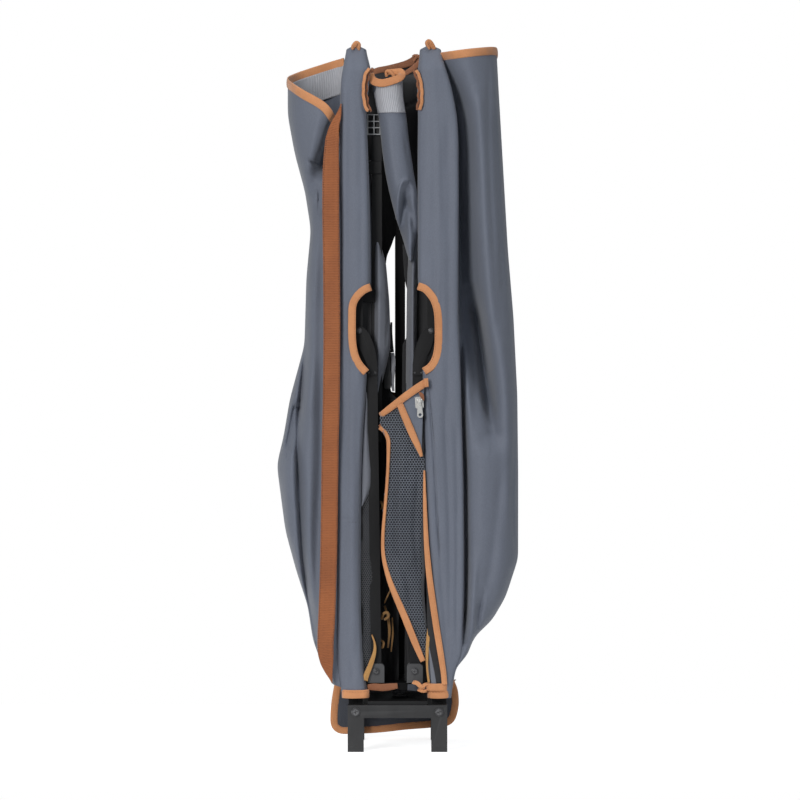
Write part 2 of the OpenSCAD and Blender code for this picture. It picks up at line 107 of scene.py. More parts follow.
def fold(x, z, pts, width, depth, power=1.0, ends=0.03, bias=0.0):
    """A soft furrow (depth above 0, away from the front) or ridge (below 0) along a line in x and z.
    bias above 0 makes the side to the right of the line steeper."""
    p = smooth_curve(GL(*pts), 60)
    shape = np.shape(x)
    q = np.stack([np.ravel(x), np.ravel(z)], 1)
    best = np.full(len(q), 1e9)
    along = np.zeros(len(q))
    side = np.zeros(len(q))
    s = np.r_[0, np.cumsum(np.linalg.norm(np.diff(p, axis=0), axis=1))]
    for i in range(len(p) - 1):
        a, b = p[i], p[i + 1]
        d = b - a
        L2 = float(d @ d)
        if L2 < 1e-14:
            continue
        t = np.clip(((q - a) @ d) / L2, 0, 1)
        c = a + t[:, None] * d
        v = q - c
        dist = np.hypot(v[:, 0], v[:, 1])
        m = dist < best
        best[m] = dist[m]
        along[m] = (s[i] + t * math.sqrt(L2))[m]
        side[m] = np.sign(v[:, 0])[m]
    w = width * U * np.where(side > 0, 1 - bias, 1 + bias)
    f = np.exp(-np.abs(best / w) ** (2 * power))
    e = np.clip(np.minimum(along, s[-1] - along) / max(ends, 1e-6), 0, 1)
    e = 0.25 + 0.75 * e * e * (3 - 2 * e) if ends > 0 else 1
    return (depth * 0.001 * f * e).reshape(shape)


def wavy(x, z, sx, sz, seed, amp):
    """Smooth noise, stretched along z, in metres."""
    out = np.empty(np.size(x))
    for i, (a, b) in enumerate(zip(np.ravel(x), np.ravel(z))):
        out[i] = noise.noise(Vector((a * sx + seed * 7.13, b * sz - seed * 3.7, seed * 1.9)))
    return (out * amp).reshape(np.shape(x))


def grid_mesh(name, P, closed=False, flip=False):
    """A quad mesh from rows of points P[row, column], with a UV map in metres along the cloth."""
    P = np.asarray(P, float)
    nv, nu = P.shape[:2]
    faces = []
    cols = nu if closed else nu - 1
    for j in range(nv - 1):
        for i in range(cols):
            a, b = j * nu + i, j * nu + (i + 1) % nu
            c, d = (j + 1) * nu + (i + 1) % nu, (j + 1) * nu + i
            faces.append((a, d, c, b) if flip else (a, b, c, d))
    me = bpy.data.meshes.new(name)
    me.from_pydata(P.reshape(-1, 3).tolist(), [], faces)
    du = np.linalg.norm(np.diff(P, axis=1), axis=2).mean(0)
    dv = np.linalg.norm(np.diff(P, axis=0), axis=2).mean(1)
    u = np.r_[0, np.cumsum(du)]
    v = np.r_[0, np.cumsum(dv)]
    if closed:
        u = np.r_[u, u[-1] + np.linalg.norm(P[:, 0] - P[:, -1], axis=1).mean()]
    uv = me.uv_layers.new(name="UVMap")
    co = np.zeros((len(me.loops), 2))
    k = 0
    for j in range(nv - 1):
        for i in range(cols):
            quad = [(i, j), (i, j + 1), (i + 1, j + 1), (i + 1, j)] if flip else [(i, j), (i + 1, j), (i + 1, j + 1), (i, j + 1)]
            for a, b in quad:
                co[k] = (u[a], v[b])
                k += 1
    uv.data.foreach_set("uv", co.ravel())
    me.polygons.foreach_set("use_smooth", [True] * len(me.polygons))
    me.update()
    o = bpy.data.objects.new(name, me)
    bpy.context.scene.collection.objects.link(o)
    return o


def drop_faces(o, test):
    """Removes the faces whose centre passes test(x, y, z)."""
    import bmesh

    bm = bmesh.new()
    bm.from_mesh(o.data)
    gone = [f for f in bm.faces if test(*f.calc_center_median())]
    bmesh.ops.delete(bm, geom=gone, context="FACES")
    loose = [v for v in bm.verts if not v.link_faces]
    bmesh.ops.delete(bm, geom=loose, context="VERTS")
    bm.to_mesh(o.data)
    bm.free()


def modifier(o, kind, **kw):
    m = o.modifiers.new(kind.lower(), kind)
    for k, v in kw.items():
        setattr(m, k, v)
    return m


def bake_mods(o):
    """Applies the modifiers, so that the final mesh is what rides on the bodies."""
    dg = bpy.context.evaluated_depsgraph_get()
    me = bpy.data.meshes.new_from_object(o.evaluated_get(dg), preserve_all_data_layers=True, depsgraph=dg)
    old = o.data
    o.modifiers.clear()
    o.data = me
    me.name = old.name
    bpy.data.meshes.remove(old)


def cloth(o, material, thick=0.0011, sub=0, body=None, stands_for=(), blend=None, offset=0.0):
    o.data.materials.append(material)
    if thick:
        modifier(o, "SOLIDIFY", thickness=thick, offset=offset, use_even_offset=False)
    if sub:
        modifier(o, "SUBSURF", levels=sub, render_levels=sub)
    bpy.context.view_layer.update()
    bake_mods(o)
    place(o, body, stands_for, blend)
    return o


SHEAR = {"on": False}
TILT = math.tan(math.radians(2.5))


def settle(o):
    """Outlines are set out on the plane y = -0.06; cloth in front of it hangs a little higher and cloth behind it lower."""
    me = o.data
    co = np.empty(len(me.vertices) * 3)
    me.vertices.foreach_get("co", co)
    co = co.reshape(-1, 3)
    co[:, 0] = 0.0039 + (co[:, 0] - 0.0039) * (1 + (co[:, 1] + 0.06) / 12)
    co[:, 2] -= (co[:, 1] + 0.06) * TILT
    me.vertices.foreach_set("co", co.ravel())
    me.update()


def place(o, body=None, stands_for=(), blend=None):
    if SHEAR["on"]:
        settle(o)
    if blend:
        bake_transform(o)
    elif body:
        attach(o, body)
    if stands_for:
        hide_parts(*stands_for)


def frames(pts, normals):
    """Tangent, side and normal at each point."""
    p = np.asarray(pts, float)
    t = np.gradient(p, axis=0)
    t /= np.linalg.norm(t, axis=1)[:, None] + 1e-12
    n = np.asarray(normals, float)
    if n.ndim == 1:
        n = np.tile(n, (len(p), 1))
    n = n - (n * t).sum(1)[:, None] * t
    n /= np.linalg.norm(n, axis=1)[:, None] + 1e-12
    return t, np.cross(n, t), n


def tape_mesh(name, pts, normals, width, thick, pucker=0.0, seed=1, crown=0.25, profile=None, twist=None):
    """A woven tape swept along pts: a flat rounded section, lying across the side vector."""
    p = np.asarray(pts, float)
    t, s, n = frames(p, normals)
    w = width if np.ndim(width) else np.full(len(p), width)
    if profile is None:
        ang = np.linspace(0, 2 * math.pi, 20, endpoint=False)
        ex = 0.28
        cx = np.sign(np.cos(ang)) * np.abs(np.cos(ang)) ** ex
        cy = np.sign(np.sin(ang)) * np.abs(np.sin(ang)) ** 0.6
        cy = np.where(cy > 0, cy * (1 + crown * (1 - cx * cx)), cy)
    else:
        cx, cy = profile
    P = np.zeros((len(p), len(cx), 3))
    for i in range(len(p)):
        q = p[i]
        if pucker:
            k = pucker * (noise.noise(Vector((seed, i * 0.55, 3.1))) + 0.5 * noise.noise(Vector((seed, i * 1.3, 8.1))))
            q = q + n[i] * k
        side, nor = s[i], n[i]
        if twist is not None:
            c, sn = math.cos(twist[i]), math.sin(twist[i])
            side, nor = s[i] * c + n[i] * sn, n[i] * c - s[i] * sn
        P[i] = q + np.outer(cx * w[i] / 2, side) + np.outer(cy * thick / 2, nor)
    P = np.concatenate([P[:1] * 0.15 + P[:1].mean(1, keepdims=True) * 0.85, P, P[-1:] * 0.15 + P[-1:].mean(1, keepdims=True) * 0.85])
    return grid_mesh(name, P, closed=True, flip=True)


def step_points(pts, step=0.004):
    p = np.asarray(pts, float)
    L = np.linalg.norm(np.diff(p, axis=0), axis=1).sum()
    return smooth_curve(p, max(8, int(L / step)))


def stitch_mesh(name, pts, normals, lift, length=0.0031, gap=0.0044, radius=0.00032, side=0.0):
    """A row of sewn stitches: short rounded threads along a line."""
    p = np.asarray(pts, float)
    L = np.linalg.norm(np.diff(p, axis=0), axis=1).sum()
    n = max(3, int(L / gap))
    pn = p if len(p) > 3 else line(p, 8)
    s = np.r_[0, np.cumsum(np.linalg.norm(np.diff(pn, axis=0), axis=1))]
    q = np.linspace(0.002, s[-1] - 0.002, n)
    c = np.stack([np.interp(q, s, pn[:, k]) for k in range(3)], 1)
    nn = np.asarray(normals, float)
    if nn.ndim == 2:
        nn = np.stack([np.interp(q, s, nn[:, k]) for k in range(3)], 1)
    t, sd, nor = frames(c, nn)
    c = c + nor * lift + sd * side
    verts, faces = [], []
    prof = [(-0.5, 0.1), (-0.42, 0.8), (0.0, 1.0), (0.42, 0.8), (0.5, 0.1)]
    for i in range(n):
        base = len(verts)
        for a, r in prof:
            m = c[i] + t[i] * a * length - nor[i] * radius * (1.2 * abs(a) * 2) ** 2 * 0.6
            for k in range(6):
                an = k * math.pi / 3
                verts.append(m + (sd[i] * math.cos(an) + nor[i] * math.sin(an)) * radius * r)
        for j in range(len(prof) - 1):
            for k in range(6):
                a, b = base + j * 6 + k, base + j * 6 + (k + 1) % 6
                faces.append((a, b, b + 6, a + 6))
    me = bpy.data.meshes.new(name)
    me.from_pydata([tuple(v) for v in verts], [], faces)
    me.polygons.foreach_set("use_smooth", [True] * len(me.polygons))
    me.update()
    o = bpy.data.objects.new(name, me)
    bpy.context.scene.collection.objects.link(o)
    return o


# ------------------------------------------------------------------ materials
def new_mat(name):
    m = bpy.data.materials.new(name)
    m.use_nodes = True
    nt = m.node_tree
    b = nt.nodes["Principled BSDF"]
    return m, nt, b


def N(nt, kind, **inputs):
    n = nt.nodes.new(kind)
    for k, v in inputs.items():
        key = k.replace("_", " ")
        if key in n.inputs:
            n.inputs[key].default_value = v
        else:
            setattr(n, k, v)
    return n


def ramp(nt, src, stops):
    r = nt.nodes.new("ShaderNodeValToRGB")
    while len(r.color_ramp.elements) < len(stops):
        r.color_ramp.elements.new(0.5)
    for e, (pos, col) in zip(r.color_ramp.elements, stops):
        e.position = pos
        e.color = (*col, 1) if len(col) == 3 else col
    nt.links.new(src, r.inputs[0])
    return r.outputs[0]


def mapped(nt, coord, scale):
    tc = nt.nodes.new("ShaderNodeTexCoord")
    mp = nt.nodes.new("ShaderNodeMapping")
    mp.inputs["Scale"].default_value = scale
    nt.links.new(tc.outputs[coord], mp.inputs["Vector"])
    return mp.outputs["Vector"]


def math_node(nt, op, a, b=None, c=None):
    m = nt.nodes.new("ShaderNodeMath")
    m.operation = op
    for i, v in enumerate((a, b, c)):
        if v is None:
            continue
        if hasattr(v, "links"):
            nt.links.new(v, m.inputs[i])
        else:
            m.inputs[i].default_value = v
    return m.outputs[0]


def mix_col(nt, fac, a, b):
    m = nt.nodes.new("ShaderNodeMix")
    m.data_type = "RGBA"
    if hasattr(fac, "links"):
        nt.links.new(fac, m.inputs["Factor"])
    else:
        m.inputs["Factor"].default_value = fac
    for key, v in ((6, a), (7, b)):
        if hasattr(v, "links"):
            nt.links.new(v, m.inputs[key])
        else:
            m.inputs[key].default_value = (*v, 1)
    return m.outputs[2]


def bump(nt, height, strength, distance, normal=None):
    b = nt.nodes.new("ShaderNodeBump")
    b.inputs["Strength"].default_value = strength
    b.inputs["Distance"].default_value = distance
    nt.links.new(height, b.inputs["Height"])
    if normal is not None:
        nt.links.new(normal, b.inputs["Normal"])
    return b.outputs["Normal"]


def sines(nt, vec, fx, fy):
    """Two crossed sine waves: sin(fx x), sin(fy y) in turns per metre, as sockets."""
    sep = nt.nodes.new("ShaderNodeSeparateXYZ")
    nt.links.new(vec, sep.inputs[0])
    sx = math_node(nt, "SINE", math_node(nt, "MULTIPLY", sep.outputs[0], 2 * math.pi * fx))
    sy = math_node(nt, "SINE", math_node(nt, "MULTIPLY", sep.outputs[1], 2 * math.pi * fy))
    return sx, sy, sep


def fabric(name, base, dark, light, pitch=0.0011, rough=0.68, sheen=0.25, weave=0.35, melange=0.5, blotch=0.35):
    """Plain-weave polyester: crossed threads, a fine two-tone thread mix, soft crease marks."""
    m, nt, b = new_mat(name)
    uv = mapped(nt, "UV", (1, 1, 1))
    sx, sy, _ = sines(nt, uv, 0.5 / pitch, 0.5 / pitch)
    over = math_node(nt, "MULTIPLY", sx, sy)
    obj = mapped(nt, "Object", (1, 1, 1))
    big = N(nt, "ShaderNodeTexNoise", Scale=9.0, Detail=4.0, Roughness=0.55)
    fine = N(nt, "ShaderNodeTexNoise", Scale=900.0, Detail=2.0, Roughness=0.6)
    streak = N(nt, "ShaderNodeTexNoise", Scale=1.0, Detail=5.0, Roughness=0.62)
    nt.links.new(obj, big.inputs["Vector"])
    nt.links.new(mapped(nt, "Object", (1, 1, 0.45)), fine.inputs["Vector"])
    nt.links.new(mapped(nt, "Object", (46, 46, 7)), streak.inputs["Vector"])
    tone = mix_col(nt, math_node(nt, "MULTIPLY_ADD", fine.outputs[0], 1.6 * melange, 0.5 - 0.8 * melange), dark, light)
    patch = ramp(nt, big.outputs[0], [(0.3, tuple(x * (1 - blotch * 0.35) for x in base)), (0.7, tuple(min(1, x * (1 + blotch * 0.35)) for x in base))])
    col = mix_col(nt, 0.55, patch, tone)
    shade = ramp(nt, math_node(nt, "MULTIPLY_ADD", over, 0.5, 0.5), [(0.0, (0.82, 0.82, 0.82)), (1.0, (1.08, 1.08, 1.08))])
    mul = nt.nodes.new("ShaderNodeMix")
    mul.data_type = "RGBA"
    mul.blend_type = "MULTIPLY"
    mul.inputs["Factor"].default_value = 1.0
    nt.links.new(col, mul.inputs[6])
    nt.links.new(shade, mul.inputs[7])
    nt.links.new(mul.outputs[2], b.inputs["Base Color"])
    nt.links.new(ramp(nt, big.outputs[0], [(0.3, (rough - 0.06,) * 3), (0.7, (rough + 0.06,) * 3)]), b.inputs["Roughness"])
    b.inputs["Sheen Weight"].default_value = sheen
    b.inputs["Sheen Roughness"].default_value = 0.45
    b.inputs["Specular IOR Level"].default_value = 0.42
    n1 = bump(nt, over, weave, pitch * 0.25)
    n2 = bump(nt, streak.outputs[0], 0.30, 0.0035, n1)
    nt.links.new(n2, b.inputs["Normal"])
    return m


def tape_mat(name, base, dark, rib, across=True, rough=0.72, groove=None, sheen=0.3):
    """Woven tape: ribs across it (or along), thread flecks and darker worn places."""
    m, nt, b = new_mat(name)
    uv = mapped(nt, "UV", (1, 1, 1))
    sx, sy, sep = sines(nt, uv, 0.5 / (rib * 1.4), 1.0 / rib)
    h = sy if across else sx
    cross = math_node(nt, "ADD", math_node(nt, "MULTIPLY", h, 0.75), math_node(nt, "MULTIPLY", math_node(nt, "MULTIPLY", sx, sy), 0.35))
    big = N(nt, "ShaderNodeTexNoise", Scale=16.0, Detail=5.0, Roughness=0.6)
    fine = N(nt, "ShaderNodeTexNoise", Scale=700.0, Detail=2.0)
    obj = mapped(nt, "Object", (1, 1, 1))
    nt.links.new(obj, big.inputs["Vector"])
    nt.links.new(obj, fine.inputs["Vector"])
    col = mix_col(nt, ramp(nt, big.outputs[0], [(0.32, (0, 0, 0)), (0.72, (1, 1, 1))]), dark, base)
    col = mix_col(nt, math_node(nt, "MULTIPLY", fine.outputs[0], 0.35), col, tuple(min(1, x * 1.35) for x in base))
    shade = ramp(nt, math_node(nt, "MULTIPLY_ADD", cross, 0.45, 0.5), [(0.0, (0.7, 0.7, 0.7)), (1.0, (1.1, 1.1, 1.1))])
    mul = nt.nodes.new("ShaderNodeMix")
    mul.data_type = "RGBA"
    mul.blend_type = "MULTIPLY"
    mul.inputs["Factor"].default_value = 1.0
    nt.links.new(col, mul.inputs[6])
    nt.links.new(shade, mul.inputs[7])
    nt.links.new(mul.outputs[2], b.inputs["Base Color"])
    b.inputs["Roughness"].default_value = rough
    b.inputs["Sheen Weight"].default_value = sheen
    b.inputs["Sheen Roughness"].default_value = 0.4
    n1 = bump(nt, cross, 0.5, rib * 0.3)
    nt.links.new(bump(nt, big.outputs[0], 0.15, 0.002, n1), b.inputs["Normal"])
    return m


def mesh_mat(name, thread, hole, cell=0.0030):
    """Knitted mesh over a dark lining: round holes in offset rows."""
    m, nt, b = new_mat(name)
    uv = mapped(nt, "UV", (1, 1, 1))
    sep = nt.nodes.new("ShaderNodeSeparateXYZ")
    nt.links.new(uv, sep.inputs[0])
    # two interleaved square lattices give a hexagon-like net
    def lattice(ox, oy):
        fx = math_node(nt, "COSINE", math_node(nt, "MULTIPLY", math_node(nt, "ADD", sep.outputs[0], ox), 2 * math.pi / cell))
        fy = math_node(nt, "COSINE", math_node(nt, "MULTIPLY", math_node(nt, "ADD", sep.outputs[1], oy), 2 * math.pi / (cell * 1.5)))
        return math_node(nt, "ADD", fx, fy)
    a, c = lattice(0, 0), lattice(cell / 2, cell * 0.75)
    dots = math_node(nt, "MAXIMUM", a, c)
    k = ramp(nt, math_node(nt, "MULTIPLY_ADD", dots, 0.5, 0.0), [(0.42, (0, 0, 0)), (0.62, (1, 1, 1))])
    fine = N(nt, "ShaderNodeTexNoise", Scale=500.0, Detail=3.0)
    big = N(nt, "ShaderNodeTexNoise", Scale=22.0, Detail=3.0)
    nt.links.new(mapped(nt, "Object", (1, 1, 1)), fine.inputs["Vector"])
    nt.links.new(mapped(nt, "Object", (1, 1, 0.5)), big.inputs["Vector"])
    t = mix_col(nt, fine.outputs[0], tuple(x * 0.75 for x in thread), tuple(x * 1.3 for x in thread))
    t = mix_col(nt, math_node(nt, "MULTIPLY", big.outputs[0], 0.5), t, tuple(x * 0.6 for x in thread))
    nt.links.new(mix_col(nt, k, t, hole), b.inputs["Base Color"])
    b.inputs["Roughness"].default_value = 0.6
    b.inputs["Sheen Weight"].default_value = 0.25
    inv = math_node(nt, "SUBTRACT", 1.0, k)
    nt.links.new(bump(nt, inv, 0.9, 0.0007), b.inputs["Normal"])
    return m


def band_mat(name, base, dark, rib=0.0026):
    """Stiff ribbed elastic band with vertical cords."""
    m, nt, b = new_mat(name)
    uv = mapped(nt, "UV", (1, 1, 1))
    sx, sy, _ = sines(nt, uv, 1.0 / rib, 1.0 / 0.0009)
    h = math_node(nt, "ADD", math_node(nt, "MULTIPLY", sx, 0.8), math_node(nt, "MULTIPLY", sy, 0.2))
    fine = N(nt, "ShaderNodeTexNoise", Scale=420.0, Detail=3.0)
    nt.links.new(mapped(nt, "Object", (1, 1, 0.2)), fine.inputs["Vector"])
    col = mix_col(nt, fine.outputs[0], dark, base)
    shade = ramp(nt, math_node(nt, "MULTIPLY_ADD", h, 0.5, 0.5), [(0.0, (0.74, 0.74, 0.75)), (1.0, (1.08, 1.08, 1.08))])
    mul = nt.nodes.new("ShaderNodeMix")
    mul.data_type = "RGBA"
    mul.blend_type = "MULTIPLY"
    mul.inputs["Factor"].default_value = 1.0
    nt.links.new(col, mul.inputs[6])
    nt.links.new(shade, mul.inputs[7])
    nt.links.new(mul.outputs[2], b.inputs["Base Color"])
    b.inputs["Roughness"].default_value = 0.6
    b.inputs["Sheen Weight"].default_value = 0.2
    nt.links.new(bump(nt, h, 0.6, rib * 0.25), b.inputs["Normal"])
    return m


def metal(name, base, rough, metallic=0.0, coat=0.0, peel=0.25, wear=0.35, worn=(0.25, 0.25, 0.26), scale=260.0, fleck=0.15, edges=(0.545, 0.62), spec=0.5):
    """Powder-coated or plated steel: fine orange-peel, rubbed edges, faint handling marks."""
    m, nt, b = new_mat(name)
    obj = mapped(nt, "Object", (1, 1, 1))
    peel_n = N(nt, "ShaderNodeTexNoise", Scale=scale, Detail=3.0, Roughness=0.5)
    marks = N(nt, "ShaderNodeTexNoise", Scale=34.0, Detail=7.0, Roughness=0.72)
    nt.links.new(obj, peel_n.inputs["Vector"])
    nt.links.new(mapped(nt, "Object", (1, 1, 0.35)), marks.inputs["Vector"])
    geo = nt.nodes.new("ShaderNodeNewGeometry")
    edge = ramp(nt, math_node(nt, "MULTIPLY_ADD", marks.outputs[0], 0.06, geo.outputs["Pointiness"]), [(edges[0], (0, 0, 0)), (edges[1], (wear, wear, wear))])
    col = mix_col(nt, math_node(nt, "MULTIPLY", marks.outputs[0], fleck), base, tuple(min(1, x * 2.2 + 0.01) for x in base))
    nt.links.new(mix_col(nt, edge, col, worn), b.inputs["Base Color"])
    nt.links.new(ramp(nt, marks.outputs[0], [(0.35, (rough - 0.06,) * 3), (0.7, (rough + 0.1,) * 3)]), b.inputs["Roughness"])
    b.inputs["Metallic"].default_value = metallic
    b.inputs["Coat Weight"].default_value = coat
    b.inputs["Coat Roughness"].default_value = 0.25
    b.inputs["Specular IOR Level"].default_value = spec
    nt.links.new(bump(nt, peel_n.outputs[0], peel, 0.0004), b.inputs["Normal"])
    return m


SLATE = (0.142, 0.160, 0.206)
M = {
    "slate": fabric("slate_oxford", SLATE, (0.094, 0.107, 0.142), (0.228, 0.252, 0.312)),
    "slate_inner": fabric("slate_lining", (0.150, 0.160, 0.192), (0.105, 0.113, 0.138), (0.235, 0.248, 0.286), sheen=0.3, rough=0.6),
    # near-black cloth: the sheets behind the mouth, the gap, the round cuts and the braces use it as painted shade; the
    # strip between the right tapes uses it too
    "black_cloth_and_painted_shade": fabric("black_lining_and_painted_shade", (0.016, 0.016, 0.018), (0.01, 0.01, 0.011), (0.03, 0.03, 0.033), sheen=0.1),
    "floor": fabric("floor_cloth", (0.048, 0.054, 0.070), (0.032, 0.036, 0.047), (0.08, 0.088, 0.11)),
    "binding": tape_mat("binding_tape", (0.78, 0.345, 0.150), (0.56, 0.225, 0.090), 0.0011),
    # darker copy of the binding for tape behind other parts and in folds: painted shade
    "binding_painted_shade": tape_mat("binding_tape_painted_shade", (0.36, 0.140, 0.062), (0.22, 0.080, 0.038), 0.0009),
    "ochre": tape_mat("ochre_tape", (0.66, 0.36, 0.115), (0.42, 0.20, 0.06), 0.0009),
    "ochre_deep": tape_mat("ochre_tape_shaded", (0.30, 0.155, 0.048), (0.18, 0.09, 0.028), 0.0009),
    "webbing": tape_mat("strap_webbing", (0.400, 0.126, 0.037), (0.27, 0.080, 0.024), 0.0026, sheen=0.35),
    "thread": tape_mat("thread_tan", (0.50, 0.22, 0.10), (0.4, 0.17, 0.07), 0.0006),
    "thread_grey": tape_mat("thread_grey", (0.62, 0.63, 0.65), (0.45, 0.46, 0.48), 0.0006),
    "thread_dark": tape_mat("thread_dark", (0.055, 0.06, 0.075), (0.04, 0.044, 0.055), 0.0006),
    "band": band_mat("ribbed_band", (0.60, 0.61, 0.65), (0.44, 0.45, 0.49), rib=0.0031),
    "mesh": mesh_mat("pocket_mesh", (0.088, 0.10, 0.126), (0.012, 0.013, 0.016)),
    "mesh_black": mesh_mat("pocket_mesh_dark", (0.040, 0.044, 0.054), (0.006, 0.006, 0.008), 0.0026),
    "zip_tape": tape_mat("zip_tape_black", (0.022, 0.023, 0.026), (0.014, 0.015, 0.017), 0.0011, sheen=0.1),
    # darker copy of the black powder coat for tubes that stand in shade: painted shade
    "steel_painted_shade": metal("powder_coat_painted_shade", (0.0062, 0.0062, 0.0068), 0.46, coat=0.02, wear=0.10, worn=(0.07, 0.07, 0.075), spec=0.24),
    # still darker copy for the centre tube, hub frame and low spreaders, deep in shade: painted shade
    "steel_shade": metal("powder_coat_painted_deep_shade", (0.0032, 0.0032, 0.0036), 0.52, wear=0.05, worn=(0.03, 0.03, 0.033), spec=0.10),
    "steel": metal("powder_coat_black", (0.0165, 0.0165, 0.0178), 0.42, coat=0.15, wear=0.12, worn=(0.14, 0.14, 0.145)),
    "bracket": metal("powder_coat_grey", (0.066, 0.067, 0.071), 0.44, metallic=0.1, coat=0.05, wear=0.30, worn=(0.24, 0.25, 0.26), edges=(0.70, 0.78)),
    "worn_plastic": metal("worn_plastic", (0.16, 0.165, 0.17), 0.5, peel=0.3, wear=0.6, worn=(0.42, 0.43, 0.44), scale=420.0, edges=(0.53, 0.60)),
    "net_thread": tape_mat("net_thread", (0.235, 0.262, 0.315), (0.140, 0.158, 0.192), 0.0007),
    "net_back": fabric("net_backing", (0.026, 0.029, 0.036), (0.018, 0.020, 0.025), (0.042, 0.046, 0.056), sheen=0.1),
    "net_thread_dark": tape_mat("net_thread_dark", (0.165, 0.172, 0.188), (0.09, 0.095, 0.106), 0.0007),
    "screw": metal("zinc_black", (0.062, 0.062, 0.066), 0.34, metallic=0.7, wear=0.35, worn=(0.40, 0.40, 0.41), peel=0.1),
    "plastic": metal("moulded_plastic", (0.018, 0.018, 0.019), 0.5, peel=0.4, wear=0.5, worn=(0.17, 0.18, 0.19), scale=420.0),
    "zip": metal("zip_nickel", (0.80, 0.79, 0.765), 0.27, metallic=0.60, coat=0.2, wear=0.2, worn=(0.9, 0.9, 0.88), peel=0.08),
}

# ------------------------------------------------------------------ carried-over hardware
STEEL = ["foot_front", "foot_rear", "base_plate", "guide_tube", "left_post_front", "left_post_rear", "left_spreader_top",
         "left_spreader_low", "left_stay_tube", "left_stay_ties", "right_post_front", "right_post_rear", "right_spreader_top",
         "right_spreader_low", "left_brace_tubes", "left_brace_plates", "right_brace_tubes", "right_brace_plates", "hub_frame"]
KEEP = {n: "steel" for n in STEEL}
# tubes in shade get the darker copies of the powder coat: painted shade
KEEP.update({n: "steel_shade" for n in ("guide_tube", "hub_frame", "guide_cap", "left_spreader_low", "right_spreader_low")})
KEEP.update({n: "steel_painted_shade" for n in ( "left_brace_tubes", "right_brace_tubes", "left_brace_plates", "right_brace_plates", "left_stay_tube", "left_stay_ties", "base_plate",
                                       "left_post_front", "right_post_front", "left_spreader_top", "right_spreader_top")})
KEEP.update({n: "bracket" for n in ("guide_socket", "hub_brackets")})
KEEP.update({n: "screw" for n in ("pivot_screws", "socket_screws", "pivot_spacers", "left_rivets", "right_rivets", "hub_screws")})
KEEP.update({n: "plastic" for n in ("leg_plugs", "guide_cap", "left_post_plugs", "right_post_plugs", "left_stay_cap", "buckle")})
KEEP.update({n: "zip" for n in ("zip_slider", "zip_pull")})
KEEP["floor_tab"] = "zip_tape"
for n, key in KEEP.items():
    o = nodes[n]
    o.data.materials.clear()
    o.data.materials.append(M[key])
    small = n in ("pivot_screws", "socket_screws", "left_rivets", "right_rivets", "hub_screws", "zip_slider", "zip_pull", "pivot_spacers")
    modifier(o, "WELD", merge_threshold=0.00002)
    modifier(o, "DECIMATE", decimate_type="DISSOLVE", angle_limit=math.radians(0.6), delimit={"NORMAL"})
    modifier(o, "BEVEL", width=0.0004 if small else (0.0008 if key in ("plastic", "bracket") or "plate" in n else 0.0016),
             segments=3, limit_method="ANGLE", angle_limit=math.radians(38), harden_normals=False)
    modifier(o, "WEIGHTED_NORMAL", mode="FACE_AREA", weight=100, keep_sharp=False)
    o.data.polygons.foreach_set("use_smooth", [True] * len(o.data.polygons))

# ------------------------------------------------------------------ sleeves over the posts
L_IN = Edge((365.2, 50), (366.4, 56), (368.4, 63), (370.2, 71), (367.5, 95), (365.7, 112), (367.5, 150), (368.6, 183), (370, 240), (370, 284),
            (368.5, 330), (366.4, 372), (365.0, 400), (362.6, 430), (361.4, 460), (360.7, 490), (360.4, 560), (360.4, 610), (361.6, 645), (364, 672), (367.6, 696), soft=0.005)
L_OUT = Edge((347.4, 50), (346.0, 56), (344.0, 66), (341.6, 78), (340.8, 100), (340.8, 200), (340.6, 318), (339.0, 360), (337.2, 400), (337.0, 560), (337.4, 640),
             (338.4, 670), (343, 696))
R_IN = Edge((420.8, 50), (419.8, 58), (418.6, 68), (417.5, 74), (418.0, 100), (418.6, 112), (418.2, 150), (418.4, 284), (420.4, 330), (422.2, 376),
            (423.2, 440), (425, 510), (427, 600), (428.4, 660), (428.8, 696))
R_OUT = Edge((439.8, 50), (441.4, 56), (445.6, 70), (450.4, 85), (453.6, 100), (456.6, 118), (457.8, 140), (458.0, 200), (457.6, 320), (460, 375), (463, 480), (464, 590),
             (462, 653), (455, 668), (450.5, 696))
PLATE_TOP = 0.655


def moon_line(*pts):
    """Centre line of the tape round a cut, from its outline on the drawing grid; the cloth there stands at y = -0.1135."""
    q = smooth_curve([(p[0], p[1]) for p in pts], 90)
    x, z = G(q[:, 0], q[:, 1])
    return np.stack([0.0039 + (x - 0.0039) * (1 - 0.0535 / 12), z + 0.0535 * TILT], 1)


MOON = {
    "left": moon_line((370.6, 287.4), (364.2, 290.0), (358.2, 295.2), (354.0, 301.4), (352.3, 308), (352.0, 318), (352.0, 333), (352.7, 345), (355.2, 356.5), (359.6, 365.0), (366.2, 372.4)),
    "right": moon_line((418.3, 286.4), (424.6, 288.8), (429.8, 293.8), (434.2, 300.4), (436.7, 307.6), (438.1, 316.7), (438.5, 328), (438.4, 342), (437.3, 352.4), (434.7, 360.8), (430.2, 367.2), (424.0, 371.2)),
}


